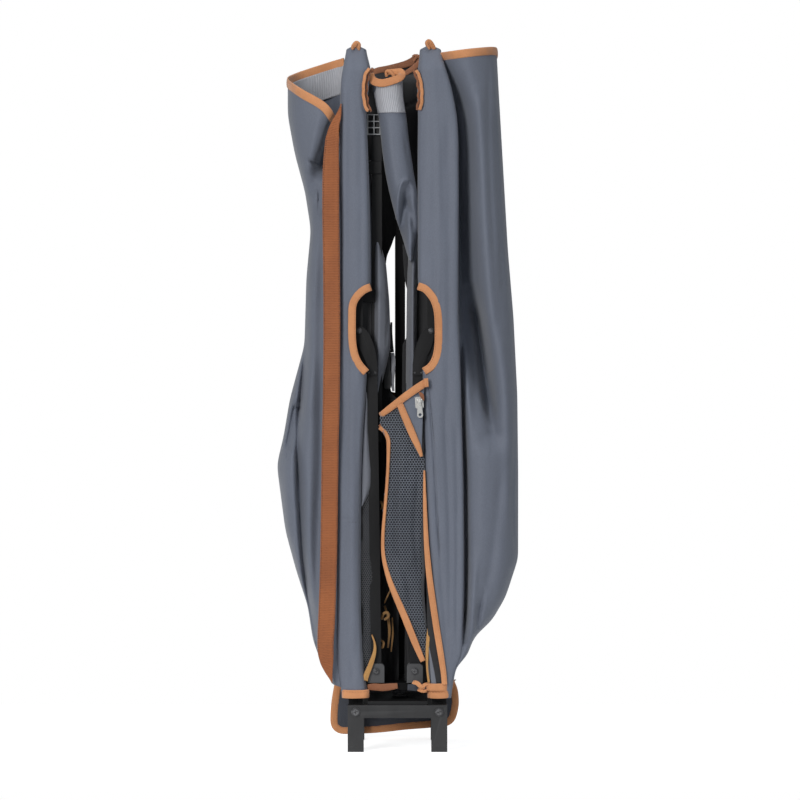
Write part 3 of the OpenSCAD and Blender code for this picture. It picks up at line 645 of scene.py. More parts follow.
def sleeve_front(side, mirror=False):
    """One sleeve: a soft square column with a curled inner lip, a folded top and a round cut at the rivet."""
    left = side == "left"
    x_in, x_out = (L_IN, L_OUT) if left else (R_IN, R_OUT)
    sg = -1.0 if left else 1.0
    zs = np.r_[np.linspace(0.0835, 1.070, 330), np.linspace(1.073, 1.090, 7)]
    rows = []
    for z in zs:
        xi, xo = float(x_in(z)), float(x_out(z))
        brace_edge = (0.041 if left else 0.035) + (z - 0.124) / 0.48 * (0.0065 if left else 0.005)
        xw = sg * max(abs(xi), brace_edge + 0.0015) if z < 0.62 else xi
        w = abs(xo - xi)
        top = np.clip((z - 1.060) / 0.030, 0, 1)
        lean = 0.020 * top**1.5
        f = -0.1125
        pts = [(xw + sg * 0.004, -0.067), (xw, -0.080), (xw, -0.097), (xi + sg * 0.0015, -0.1015), (xi + sg * 0.003, f + 0.0045),
               (xi + sg * w * 0.22, f + 0.0002), (xi + sg * w * 0.5, f - 0.0012), (xi + sg * w * 0.80, f + 0.0004),
               (xo - sg * 0.0034, f + 0.0024), (xo - sg * 0.0006, f + 0.0072), (xo, -0.092), (xo - sg * 0.0005, -0.078), (xo - sg * 0.006, -0.064)]
        pts = [(x, y + lean * min(1.0, max(0.0, (-0.075 - y) / 0.0375))) for x, y in pts]
        c = smooth_curve(pts, 78)
        rows.append(np.stack([c[:, 0], c[:, 1], np.full(len(c), z)], 1))
    peak = float(rows[-1][:, 0].mean()) + (0.0 if left else -0.002)
    last = rows[-1].copy()
    for up, ky, kx in ((0.0010, 0.30, 0.02), (0.0022, 0.55, 0.10), (0.0042, 0.78, 0.38), (0.0062, 0.92, 0.66), (0.0078, 0.985, 0.88)):
        q = last.copy()
        q[:, 1] += (-0.090 - q[:, 1]) * ky
        q[:, 0] += (peak - q[:, 0]) * kx
        q[:, 2] = 1.090 + up
        rows.append(q)
    P = np.array(rows)
    X, Z = P[:, :, 0], P[:, :, 2]
    front = np.clip((-0.088 - P[:, :, 1]) / 0.018, 0, 1)
    d = wavy(X, Z, 46, 5.5, 3 if left else 5, 0.0022) + wavy(X, Z, 110, 16, 8 if left else 11, 0.0008)
    if left:
        d = d + fold(X, Z, [(350, 90), (349, 300), (347, 500), (349, 650)], 3.2, 1.6)
        d = d + fold(X, Z, [(361, 120), (362, 280)], 2.6, 1.2)
        d = d + fold(X, Z, [(357, 390), (358, 520), (357, 660)], 3.0, 1.8)
        d = d + fold(X, Z, [(341, 517), (354, 518), (365, 519)], 0.9, 0.9, ends=0)
        d = d + fold(X, Z, [(349, 640), (352, 668), (350, 690)], 3.5, 2.5)
        d = d + fold(X, Z, [(345, 76), (352, 66), (364, 74)], 2.5, 1.2)
    else:
        d = d + fold(X, Z, [(428.4, 388), (431.4, 420), (434.4, 462), (437.6, 520), (441.0, 566)], 1.1, 4.4, bias=0.5, ends=0.03)
        d = d + fold(X, Z, [(437, 130), (439, 220), (437, 330)], 3.0, -1.4)
        d = d + fold(X, Z, [(448, 120), (449, 260), (447, 420)], 4.0, 2.2)
        d = d + fold(X, Z, [(434, 250), (435, 290), (433, 330)], 2.0, 1.0)
        d = d + fold(X, Z, [(444, 400), (449, 520), (450, 640)], 3.0, 3.2)
        d = d + fold(X, Z, [(456, 420), (457, 520), (456, 640)], 3.0, 2.8)
        d = d + fold(X, Z, [(440, 560), (444, 610), (447, 660)], 2.6, 2.4)
        d = d + fold(X, Z, [(428, 470), (432, 540), (437, 600)], 2.4, -1.6)
    P[:, :, 1] += d * front
    o = grid_mesh(f"{side}_sleeve_cloth_{'rear' if mirror else 'front'}", P, flip=left)
    cut = np.array([(sg * x, z) for x, z in MOON[side]])

    def gone(x, y, z):
        a = abs(x)
        if 0.588 < z < 0.729 and y > -0.100 and a < abs(float(x_in(z))) + 0.012 and a < 0.062:
            return True
        if y < -0.0985 and cut[:, 1].min() < z < cut[:, 1].max():
            ins = False
            ring = np.vstack([cut, [(0.0, cut[-1, 1]), (0.0, cut[0, 1])]])
            for (x0, z0), (x1, z1) in zip(ring, np.roll(ring, -1, axis=0)):
                if (z0 > z) != (z1 > z) and a < x0 + (z - z0) / (z1 - z0) * (x1 - x0):
                    ins = not ins
            return ins
        return False

    drop_faces(o, gone)
    if mirror:
        o.data.transform(flip_y)
        o.data.flip_normals()
    cloth(o, M["slate"], thick=0.0012, sub=0, body=f"{side}_frame", stands_for=[f"{side}_sleeve_{'rear' if mirror else 'front'}"])
    return o


from mathutils import Matrix  # noqa: E402

flip_y = Matrix.Diagonal((1, -1, 1, 1))


def mirrored(o, name, body, stands_for=()):
    """The same piece on the rear side."""
    me = o.data.copy()
    me.transform(flip_y)
    me.flip_normals()
    c = bpy.data.objects.new(name, me)
    bpy.context.scene.collection.objects.link(c)
    was, SHEAR["on"] = SHEAR["on"], False
    place(c, body, stands_for)
    SHEAR["on"] = was
    return c


def finish_tape(o, key, body=None, stands_for=(), sub=0, blend=None):
    o.data.materials.append(M[key])
    if sub:
        modifier(o, "SUBSURF", levels=sub, render_levels=sub)
        bpy.context.view_layer.update()
        bake_mods(o)
    place(o, body, stands_for, blend)
    return o


def add_stitches(name, pts, normals, lift, body=None, key="thread", side=0.0, blend=None, **kw):
    o = stitch_mesh(name, pts, normals, lift, side=side, **kw)
    o.data.materials.append(M[key])
    place(o, body, (), blend)
    return o


for side in ("left", "right"):
    sleeve_front(side)
    sleeve_front(side, mirror=True)

# round cuts: a folded tape around each, with a row of stitches
for side, sg in (("left", -1), ("right", 1)):
    p = np.array([(x, -0.1135, z) for x, z in MOON[side]])
    p = step_points(p, 0.0032)
    # the upper end follows the sleeve as it curls under
    n_tip = np.arange(len(p))
    p[:, 1] += 0.003 * np.clip(1 - n_tip / 3.0, 0, 1) ** 2
    o = tape_mesh(f"{side}_moon_binding", p, (0, -1, 0), 0.0120, 0.0026, pucker=0.0007, seed=3 if sg < 0 else 6, crown=0.25)
    finish_tape(o, "binding", f"{side}_frame", stands_for=[f"{side}_moon_bindings"])
    mirrored(o, f"{side}_moon_binding_rear", f"{side}_frame")
    s = add_stitches(f"{side}_moon_stitches", p, (0, -1, 0), 0.0019, f"{side}_frame", side=-sg * 0.0042)
    mirrored(s, f"{side}_moon_stitches_rear", f"{side}_frame")


def net_mesh(name, inside, depth, cell, pitch, box_xz, thread, key, body, stands_for=()):
    """A knitted net made of real threads: a hexagon lattice laid on a surface y = depth(x, z), inside an outline."""
    x0, x1, z0, z1 = box_xz
    vs, index, fs = [], {}, []
    r = cell / 2

    def vert(x, z):
        key_ = (round(x / r * 4), round(z / pitch * 12))
        if key_ not in index:
            index[key_] = len(vs)
            vs.append((x, z))
        return index[key_]

    n_r = int((z1 - z0) / pitch) + 2
    n_c = int((x1 - x0) / cell) + 2
    for i in range(n_r):
        for j in range(n_c):
            cx = x0 + j * cell + (r if i % 2 else 0)
            cz = z0 + i * pitch
            if not inside(cx, cz):
                continue
            h = pitch * 2 / 3
            ring = [(cx, cz + h), (cx + r, cz + h / 2), (cx + r, cz - h / 2), (cx, cz - h), (cx - r, cz - h / 2), (cx - r, cz + h / 2)]
            fs.append([vert(*q) for q in ring])
    co = [(x, depth(x, z), z) for x, z in vs]
    me = bpy.data.meshes.new(name)
    me.from_pydata(co, [], fs)
    o = bpy.data.objects.new(name, me)
    bpy.context.scene.collection.objects.link(o)
    modifier(o, "WIREFRAME", thickness=thread, use_even_offset=False, use_boundary=True, use_replace=True, offset=0.0)
    bpy.context.view_layer.update()
    bake_mods(o)
    me = o.data
    uv = me.uv_layers.new(name="UVMap") if not me.uv_layers else me.uv_layers[0]
    for lp in me.loops:
        c = me.vertices[lp.vertex_index].co
        uv.data[lp.index].uv = (c.x, c.z)
    me.materials.clear()
    me.materials.append(M[key])
    me.polygons.foreach_set("use_smooth", [True] * len(me.polygons))
    place(o, body, stands_for)
    return o

# ------------------------------------------------------------------ the two sides of the bag
def grid_normals(P, outward):
    du = np.gradient(P, axis=1)
    dv = np.gradient(P, axis=0)
    n = np.cross(du, dv)
    n /= np.linalg.norm(n, axis=2)[..., None] + 1e-12
    return n * outward


def rounded_path(n_exp, w, depth, count):
    """Fractions f (0 at the sleeve, 1 at the outer edge) and g (1 front, -1 rear) around a soft-cornered section."""
    th = np.linspace(math.pi / 2, -math.pi / 2, 2400)
    f = np.abs(np.cos(th)) ** (2 / n_exp)
    g = np.sign(np.sin(th)) * np.abs(np.sin(th)) ** (2 / n_exp)
    s = np.r_[0, np.cumsum(np.hypot(np.diff(f) * w, np.diff(g) * depth))]
    q = np.linspace(0, s[-1], count)
    return np.interp(q, s, f), np.interp(q, s, g)


def smoothstep(a, b, x):
    t = np.clip((x - a) / (b - a), 0, 1)
    return t * t * (3 - 2 * t)


def side_panel(sg, x_in, x_out, ztop_front, ztop_rear, zbot, depth, rows, cols, lift=0.004):
    """Rows of points of one side of the bag, from the front seam round to the rear seam."""
    f, g = rounded_path(3.4, 0.085, depth, cols)
    zf = smooth_curve(np.array(ztop_front).T, 60)
    tf = np.interp(f, zf[:, 0], zf[:, 1])
    tr = np.interp(f, *ztop_rear)
    m = smoothstep(-0.9, 0.9, -g)
    ztop = (tf * (1 - m) + tr * m) + lift
    t = np.linspace(0, 1, rows) ** 0.96
    zb = zbot + 0.006 * f
    Z = zb[None, :] + t[:, None] * (ztop - zb)[None, :]
    xi, xo = x_in(Z), x_out(Z)
    X = xi + f[None, :] * (xo - xi)
    Y = -depth * np.tile(g, (rows, 1))
    # beside the sleeve the cloth runs back into the seam
    d = np.abs(X - xi)
    Y += np.sign(g)[None, :] * 0.012 * np.exp(-((d / 0.010) ** 2)) * (np.abs(g)[None, :] > 0.5)
    P = np.stack([X, Y, Z], 2)

    def seam(col, sgn_y):
        out = []
        for dx, y in ((0.0045, 0.066), (0.003, 0.080), (0.0006, 0.094)):
            c = P[:, col].copy()
            c[:, 0] = xi[:, col] - sg * dx
            c[:, 1] = sgn_y * y
            out.append(c[:, None])
        return out

    return np.concatenate(seam(0, -1) + [P] + seam(-1, 1)[::-1], axis=1)


L_EDGE = Edge((332.1, 681), (323, 668), (318, 655), (312.9, 642), (307.7, 607), (296.2, 572), (285.3, 532), (281.5, 503), (276.7, 466),
              (283.4, 438), (289.8, 400), (304.5, 346), (306.5, 278), (311, 230), (305.2, 192), (294.9, 154), (287.9, 116), (287.9, 76), soft=0.009)
R_EDGE = Edge((453.3, 668), (468, 655), (471.9, 642), (478, 633), (491.7, 622), (505.8, 598), (518.3, 560), (518.3, 472),
              (517.4, 396), (513.5, 318), (507.8, 250), (503.3, 173), (498.8, 96), (496.2, 47.6), soft=0.007)


def shade_front(P, d, depth):
    """Moves the front-facing cloth in or out by d."""
    w = smoothstep(0.25, 0.80, -P[:, :, 1] / depth)
    w[:, :3] = 0.0   # the sewn edge stays on the sleeve
    P[:, :, 1] += d * w
    return P


def rear_folds(P, X, Z, depth, seed):
    w = smoothstep(0.25, 0.80, P[:, :, 1] / depth) * smoothstep(1.0, 0.95, Z)
    d = wavy(X, Z, 30, 5, seed, 0.012) + wavy(X, Z, 60, 11, seed + 3, 0.004)
    P[:, :, 1] -= np.clip(d, -0.004, 0.02) * w
    return P


DEPTH = 0.1195
# left side
Pl = side_panel(-1, L_OUT, L_EDGE, ([0, 0.12, 0.25, 0.40, 0.71, 1], [0.958, 0.974, 0.9920, 1.0030, 1.0175, 1.0320]), ([0, 1], [1.0680, 1.0395]), 0.100, DEPTH, 300, 190)
X, Z = Pl[:, :, 0].copy(), Pl[:, :, 2].copy()
d = wavy(X, Z, 26, 4.0, 21, 0.005) + wavy(X, Z, 55, 9, 23, 0.0022)
d += fold(X, Z, [(345, 108), (338, 132), (329, 158), (318, 184)], 13.0, 64, power=1.2, ends=0.040, bias=-0.25)
d += fold(X, Z, [(322, 106), (316, 130), (309, 158), (305, 178)], 4.5, -5)
d += fold(X, Z, [(305.5, 193.5), (311, 191.5), (318, 186)], 2.6, 4, bias=0.2, ends=0.02)
d += fold(X, Z, [(307.5, 160.0), (313, 161.0), (319.5, 164.0)], 1.3, 7, bias=0.3, ends=0.006)
d += fold(X, Z, [(308, 161), (314, 163), (321, 164)], 1.0, 6, ends=0.01)
d += fold(X, Z, [(293, 110), (298, 150), (304, 186)], 6, -3)
d += fold(X, Z, [(324, 200), (323, 300), (322, 420), (318, 560), (319, 660)], 7.5, 14)
d += fold(X, Z, [(313, 240), (312, 330), (309, 420)], 5, -4.5)
d += fold(X, Z, [(318, 200), (314, 260), (311, 300)], 3, 3)
d += fold(X, Z, [(305.5, 330), (303, 370), (300, 400), (298, 432), (297, 456), (299, 490), (300, 520), (303, 560), (308, 600), (316, 640)],
          4.2, 27, power=0.85, ends=0.06, bias=-0.45)
d += fold(X, Z, [(298, 402), (295, 412), (292, 428), (288.5, 445), (287, 450)], 4.8, 24, power=1.6, ends=0.010, bias=-0.2)
d += fold(X, Z, [(290, 396), (287, 415), (283, 440)], 2.6, -3)
d += fold(X, Z, [(289, 456), (287, 500), (290, 550)], 5, -5)
d += fold(X, Z, [(297, 457), (296.5, 480), (297, 508)], 1.6, 9)
d += fold(X, Z, [(310, 470), (309, 540), (313, 610)], 4, -5)
d += fold(X, Z, [(283, 504), (291, 505.5), (300, 505)], 0.8, 1.3, ends=0)
d += fold(X, Z, [(301, 516), (312, 517.5), (322, 517.5)], 0.8, 1.3, ends=0)
d += fold(X, Z, [(305, 560), (311, 610), (320, 655)], 3, 6)
shade_front(Pl, d, DEPTH)
rear_folds(Pl, X, Z, DEPTH, 41)
o = grid_mesh("left_panel_cloth", Pl, flip=False)
cloth(o, M["slate"], thick=0.0012, body="left_frame", stands_for=["left_panel_front", "left_panel_side", "left_panel_rear"])

# right side
Pr = side_panel(1, R_OUT, R_EDGE, ([0, 0.5, 1], [1.0760, 1.0815, 1.0855]), ([0, 1], [1.0650, 1.0755]), 0.112, DEPTH, 300, 190)
X, Z = Pr[:, :, 0].copy(), Pr[:, :, 2].copy()
d = wavy(X, Z, 24, 3.2, 31, 0.006) + wavy(X, Z, 50, 8, 33, 0.0024)
d += fold(X, Z, [(436, 52), (449, 86), (457, 130), (460, 180), (463, 250), (467, 300), (474, 345), (482, 395), (489, 434)], 14.0, 70, power=1.25, ends=0.12, bias=-0.05)
d += fold(X, Z, [(472, 290), (480, 332), (487, 382), (492, 430)], 6.2, 46, ends=0.05, power=1.2)
d += fold(X, Z, [(478, 90), (481, 170), (485, 250), (492, 330)], 5.5, -6)
d += fold(X, Z, [(494, 110), (498, 200), (503, 300)], 3.5, 4)
d += fold(X, Z, [(488, 60), (489, 160), (494, 260)], 3.5, 3.0)
d += fold(X, Z, [(460, 330), (462, 400), (465, 480), (466, 560), (464, 640)], 4.0, 34, power=0.9, ends=0.05, bias=0.1)
d += fold(X, Z, [(470, 380), (473, 470), (474, 560)], 6, 6)
d += fold(X, Z, [(500, 330), (507, 420), (508, 520)], 6, -5)
d += fold(X, Z, [(516, 420), (512, 500), (516, 560)], 2.5, 4.5)
d += fold(X, Z, [(484, 590), (479, 612), (477, 636)], 3.2, 10, bias=0.3)
d += fold(X, Z, [(476, 560), (472, 600), (470, 650)], 3.0, -4)
d += fold(X, Z, [(500, 470), (494, 540), (486, 590)], 5, 4)
shade_front(Pr, d, DEPTH)
rear_folds(Pr, X, Z, DEPTH, 47)
o = grid_mesh("right_panel_cloth", Pr, flip=True)
cloth(o, M["slate"], thick=0.0012, body="right_frame", stands_for=["right_panel_front", "right_panel_side", "right_panel_rear"])


def rim(name, P, cols, key, width, thick, body, stands_for, outward, drop=0.0, row=-1, pucker=0.0006, seed=2, stitch_at=None):
    n = grid_normals(P, outward)[row, cols]
    up = np.gradient(P, axis=0)[row, cols]
    up /= np.linalg.norm(up, axis=1)[:, None]
    pts = P[row, cols] + up * drop
    s = np.r_[0, np.cumsum(np.linalg.norm(np.diff(pts, axis=0), axis=1))]
    q = np.linspace(0, s[-1], max(12, int(s[-1] / 0.0035)))
    pts = np.stack([np.interp(q, s, pts[:, k]) for k in range(3)], 1)
    n = np.stack([np.interp(q, s, n[:, k]) for k in range(3)], 1)
    o = tape_mesh(name, pts, n, width, thick, pucker=pucker, seed=seed, crown=0.3)
    finish_tape(o, key, body, stands_for=stands_for)
    if stitch_at is not None:
        add_stitches(name + "_stitches", pts, n, thick / 2 + 0.0002, body, side=stitch_at)
    return o


# the seam columns at both ends sit beside the sleeves; the rim tape covers the rest
rim("left_rim_tape", Pl, slice(4, -4), "binding", 0.0135, 0.0038, "left_frame", ["left_rim_binding"], -1, drop=0.001, stitch_at=None)
rim("right_rim_tape", Pr, slice(3, -3), "binding", 0.0130, 0.0038, "right_frame", ["right_rim_binding"], 1, drop=0.001)

# ribbed band sewn inside the left mouth
inner = [c for c in range(Pl.shape[1]) if Pl[-1, c, 1] > -0.010][:-3] if Pl[-1, -1, 1] > Pl[-1, 0, 1] else [c for c in range(Pl.shape[1]) if Pl[-1, c, 1] > -0.010][3:][::-1]
rows_b = []
for r in np.linspace(0, 1, 26):
    row = []
    for c in inner:
        ztop = Pl[-1, c, 2] - 0.0035
        z = ztop - 0.0455 * (1 - r)
        x = np.interp(z, Pl[:, c, 2], Pl[:, c, 0])
        y = np.interp(z, Pl[:, c, 2], Pl[:, c, 1])
        row.append((x + 0.0034, y - 0.0040 * smoothstep(0.0, 0.10, np.array(y)), z))
    rows_b.append(row)
o = grid_mesh("left_ribbed_band", rows_b, flip=False)
cloth(o, M["band"], thick=0.0014, body="left_frame", stands_for=["left_rim_band"])
b = np.array(rows_b)[1]
add_stitches("left_band_stitches", b, (0, -1, 0), 0.0012, "left_frame", key="thread_grey")

# carrying strap down the left side: ribbed webbing with doubled edges
strap = GL((341.6, 103.5), (340.6, 109), (338.6, 116), (335.2, 125), (333.0, 137), (331.9, 150), (331.4, 170), (331.2, 210), (331.8, 260), (332.2, 330), (331.6, 400),
           (330.6, 440), (329.8, 500), (328.8, 560), (327.2, 610), (325.8, 640), (326.2, 652), (327.4, 661), (329.2, 669), (331.2, 676), (332.4, 680.5))
path = step_points(strap, 0.003)
yy = -0.1228 + 0.0012 * np.sin(path[:, 1] * 21) + 0.006 * smoothstep(0.97, 1.0, path[:, 1]) - 0.0008 * np.cos(path[:, 1] * 37)
p3 = np.stack([path[:, 0], yy, path[:, 1]], 1)
wid = np.interp(path[:, 1], [0.108, 0.115, 0.126, 0.139, 0.153, 0.19, 0.90, 0.955, 0.985, 1.005], [0.0012, 0.0050, 0.0125, 0.0200, 0.0245, 0.0262, 0.0262, 0.0215, 0.0110, 0.0015])
lift_w = np.interp(path[:, 1], [0.10, 0.5, 0.9, 1.0], [-0.10, 0.02, 0.08, 0.35])
o = tape_mesh("left_strap_webbing", p3, (0, -1, 0), wid, 0.0030, pucker=0.0004, seed=9, crown=0.05, twist=lift_w)
finish_tape(o, "webbing", "left_frame", stands_for=["left_strap"])
for k, sd in enumerate((-1, 1)):
    q = p3.copy()
    q[:, 0] += sd * (wid / 2 - 0.0016)
    q = q[(q[:, 2] < 0.955) & (q[:, 2] > 0.15)]
    add_stitches(f"left_strap_edge_{k}", q, (0, -1, 0), 0.0019 + 0.0006, "left_frame", key="thread_dark", length=0.0018, gap=0.0034, radius=0.0003)

# ------------------------------------------------------------------ hems, slots and loops on the sleeves
SHEAR["on"] = True
def hem(name, xs, z0, z1, body, key="binding", y=-0.1135, depth=0.0075, thick=0.0024, droop=0.0, seed=4):
    """A turned-up tape hem that wraps the front of a sleeve and runs back a little on both sides."""
    zc, w = (z0 + z1) / 2, z1 - z0
    x0, x1 = xs
    pts = [(x0 + 0.004, y + 0.034, zc), (x0 + 0.001, y + 0.018, zc), (x0, y + depth, zc), (x0 + 0.004, y + 0.0008, zc - droop * 0.3),
           (x0 + 0.35 * (x1 - x0), y - 0.001, zc - droop), (x0 + 0.7 * (x1 - x0), y - 0.0006, zc - droop * 0.6), (x1 - 0.004, y + 0.0008, zc),
           (x1, y + depth, zc), (x1 - 0.001, y + 0.018, zc), (x1 - 0.004, y + 0.034, zc)]
    p = step_points(pts, 0.0025)
    c = np.array([(x0 + x1) / 2, y + 0.03])
    n = p[:, :2] - c
    n = np.stack([n[:, 0], n[:, 1], np.zeros(len(n))], 1)
    n /= np.linalg.norm(n, axis=1)[:, None]
    o = tape_mesh(name, p, n, w, thick, pucker=0.0006, seed=seed, crown=0.35)
    return finish_tape(o, key, body), p, n


for name, xs, za, zb, body, drp, seed in (
        ("left_sleeve_hem", (G(342.6, 0)[0], G(368.2, 0)[0]), G(0, 697.5)[1], G(0, 689.0)[1], "left_frame", 0.0006, 4),
        ("right_sleeve_hem_low", (G(428.6, 0)[0], G(449.5, 0)[0]), G(0, 697.5)[1], G(0, 689.5)[1], "right_frame", 0.0008, 5)):
    o, p, n = hem(name, xs, za, zb, body, droop=drp, seed=seed)
    mirrored(o, name + "_rear", body)
    s = add_stitches(name + "_stitches", p, n, 0.0021, body, side=0.0036)
    mirrored(s, name + "_stitches_rear", body)
o, p, n = hem("right_sleeve_hem_high", (G(427.0, 0)[0], G(447.0, 0)[0]), G(0, 690.0)[1], G(0, 682.5)[1], "right_frame", y=-0.1165, depth=0.006, droop=0.0004, seed=8)

# crumpled ends of tape by the right hem
for k, pts in enumerate(([(413, 681.5), (417, 682.5), (421, 686), (424, 688)], [(424, 691), (422, 687), (425, 684), (429, 683)],
                         [(418, 689), (423, 690.5), (427, 690)])):
    q = GL(*pts)
    p = step_points(np.stack([q[:, 0], np.array([-0.108, -0.1115, -0.1135, -0.112])[: len(q)], q[:, 1]], 1), 0.0014)
    tw = np.linspace(-0.6, 0.9, len(p)) * (1 if k != 1 else -1)
    o = tape_mesh(f"right_hem_end_{k}", p, (0, -1, 0.15), 0.0072 - 0.001 * k, 0.0022, pucker=0.0012, seed=30 + k, crown=0.3, twist=tw)
    finish_tape(o, "binding", "right_frame")

# bound slots near the tops of the sleeves, on the inward sides
for name, pts, body, sg in (("left_slot", [(369.5, 70), (365.5, 76), (363.6, 88), (363.9, 100), (366.3, 110), (368.2, 112)], "left_frame", -1),
                            ("right_slot", [(415.8, 72), (419.0, 77), (421.4, 88), (421.8, 99), (421.0, 107), (419.6, 111)], "right_frame", 1)):
    q = GL(*pts)
    for k, (shift, yb) in enumerate(((0.0, -0.1155), (-sg * 0.0048, -0.1085))):
        p = step_points(np.stack([q[:, 0] + shift, np.full(len(q), yb) + 0.0025 * np.abs(np.linspace(-1, 1, len(q))) ** 2, q[:, 1]], 1), 0.0018)
        p[:, 0] += 0.0010 * np.sin(np.arange(len(p)) * 0.75 + k) * (1 if k else 0.3)
        o = tape_mesh(f"{name}_binding_{k}", p, (sg * 0.25 * (1 if k == 0 else -0.6), -1, 0), 0.0050 - 0.0010 * k, 0.0024, pucker=0.0009, seed=12 + k + sg, crown=0.4)
        finish_tape(o, "binding" if k == 0 else "binding_painted_shade", body)
        mirrored(o, f"{name}_binding_{k}_rear", body)

# hanging loops at the very top of the posts: short tapes folded over on themselves
for name, pts, tw, body in (("left_loop", [(353.2, 50.2), (353.4, 48.2), (354.8, 46.2), (356.4, 44.6), (357.6, 45.4), (358.0, 47.8), (358.4, 50.2)], (1.25, 0.75, 0.5, 1.2), "left_frame"),
                            ("right_loop", [(429.6, 50.0), (428.2, 47.0), (427.8, 44.2), (428.6, 42.9), (430.4, 44.4), (432.2, 47.2), (433.6, 50.0)], (1.2, 0.7, 0.5, 0.9), "right_frame")):
    q = GL(*pts)
    p = step_points(np.stack([q[:, 0], np.array([-0.0935, -0.0945, -0.0960, -0.0965, -0.0950, -0.0930, -0.0905]), q[:, 1]], 1), 0.0009)
    o = tape_mesh(name, p, (0, -0.9, 0.4), 0.0084, 0.0030, pucker=0.0005, seed=17, crown=0.3, twist=np.interp(np.linspace(0, 1, len(p)), np.linspace(0, 1, 4), tw))
    finish_tape(o, "binding", body)
    mirrored(o, name + "_rear", body)

# sewn seams across and down the sleeves
def seam_line(name, pts, y, body, key="thread_dark", lift=0.0, **kw):
    q = GL(*pts)
    q = smooth_curve(q, 60)
    yy = y(q) if callable(y) else np.full(len(q), y)
    return add_stitches(name, np.stack([q[:, 0], yy, q[:, 1]], 1), (0, -1, 0), lift, body, key=key, **kw)


seam_line("left_sleeve_seam", [(348, 521.5), (354, 521.8), (360, 521.5)], -0.1142, "left_frame", radius=0.00026)
seam_line("right_sleeve_seam", [(428.6, 388), (432, 420), (436.2, 460), (437.4, 500), (439, 549)], -0.1138, "right_frame", radius=0.00026, gap=0.0038)

# ------------------------------------------------------------------ cloth between the two posts
def strip(name, left, right, z0, z1, y, rows, cols, key, body=None, stands_for=(), blend=None, thick=0.0011, bulge=0.0, folds=(), noise_amp=0.001,
          seed=1, flip=False, curl=(0, 0), shape=None):
    """Cloth between a left and a right edge line; y may be a number or a function of z (metres)."""
    zs = np.linspace(z0, z1, rows)
    t = np.linspace(0, 1, cols)
    X = left(zs)[:, None] + t[None, :] * (right(zs) - left(zs))[:, None]
    Z = np.tile(zs[:, None], (1, cols))
    yb = y(zs)[:, None] if callable(y) else y
    Y = yb - bulge * (np.sin(math.pi * t) ** 0.8)[None, :] + np.zeros_like(X)
    Y += curl[0] * (1 - t[None, :]) ** 6 + curl[1] * t[None, :] ** 6
    if shape is not None:
        Y += shape(t[None, :], Z)
    for f in folds:
        Y += fold(X, Z, *f[:3], **(f[3] if len(f) > 3 else {}))
    Y += wavy(X, Z, 60, 9, seed, noise_amp)
    P = np.stack([X, Y, Z], 2)
    o = grid_mesh(name, P, flip=flip)
    cloth(o, M[key], thick=thick, body=body, stands_for=stands_for, blend=blend)
    return o, P


# turned-over front cloth hanging between the posts, with its bound top edge and ribbed band
F_L = Edge((371.6, 74), (372.6, 90), (378.5, 112), (381.5, 140), (382.6, 152), (386.0, 175), (389.5, 192), (396.0, 218), (403.0, 238), (407.5, 255), (410.5, 262), soft=0.007)
F_R = Edge((401.5, 74), (402.5, 95), (406.5, 120), (408.5, 140), (413.0, 170), (416.8, 192), (418.5, 210), (417.5, 232), (413.5, 250), (411.5, 262), soft=0.007)
zt = G(0, 82)[1]
zb = G(0, 261)[1]


def roll(t, Z):
    return -0.006 * (1 - (2 * t - 1) ** 2) + 0.010 * t**5 + 0.016 * (1 - t) ** 7


o, Pf = strip("front_hanging_cloth", F_L, F_R, zb, zt, lambda z: -0.090 + 0.010 * smoothstep(0.80, 0.74, z) * 0, 150, 60, "slate", "right_frame", ["front_fold"], seed=3, thick=0.0012,
              shape=roll,
              folds=[([(399, 262), (402, 232), (404, 206), (408, 186)], 4.6, 20, dict(power=1.3, ends=0.03, bias=-0.2)),
                     ([(396, 225), (397.5, 200), (402, 183), (409, 181.5), (414, 190)], 1.6, -4.0, dict(ends=0.02)),
                     ([(404, 196), (411, 214), (414, 236)], 3.2, 8, dict(ends=0.02)),
                     ([(388, 120), (392, 160), (398, 200)], 4.0, -2.0),
                     ([(403, 130), (408, 165)], 2.0, 2.2)], noise_amp=0.0016)
# ribbed band on its upper part
b0, b1 = G(0, 113.5)[1], G(0, 82)[1]
o, Pb = strip("front_ribbed_band", Edge((373.4, 82), (374.2, 95), (378.2, 114), soft=0.006), Edge((402.3, 82), (403.0, 100), (405.6, 114), soft=0.006), b0, b1, -0.0925, 40, 56, "band", "right_frame",
              thick=0.0012, seed=9, noise_amp=0.0006, shape=roll)
q = Pb[1].copy()
add_stitches("front_band_stitches", q, (0, -1, 0), 0.0014, "right_frame", key="thread_grey")
# bound upper edge: lies along the top of the band, turns at the right and curls over
q = GL((371.0, 74.5), (371.6, 79.5), (375.5, 83.0), (383, 84.2), (392, 82.0), (399.0, 79.2), (402.2, 76.0), (400.6, 72.6), (396.0, 72.6), (390.5, 72.8), (387.6, 73.6))
yv = np.array([-0.0900, -0.0950, -0.0985, -0.1010, -0.1010, -0.0990, -0.0940, -0.0890, -0.0860, -0.0850, -0.0850])
p = step_points(np.stack([q[:, 0], yv, q[:, 1]], 1), 0.0022)
o = tape_mesh("front_edge_binding", p, (0, -1, 0.12), np.interp(np.linspace(0, 1, len(p)), [0, 0.1, 0.6, 1], [0.010, 0.0128, 0.012, 0.0085]), 0.0034, pucker=0.0008, seed=22, crown=0.3)
finish_tape(o, "binding", "right_frame")
q = GL((386.8, 77.5), (386.2, 73.4), (388.2, 71.8), (391.6, 74.2), (394.4, 77.6))
p = step_points(np.stack([q[:, 0], np.array([-0.0885, -0.0895, -0.0905, -0.0910, -0.0895]), q[:, 1]], 1), 0.0012)
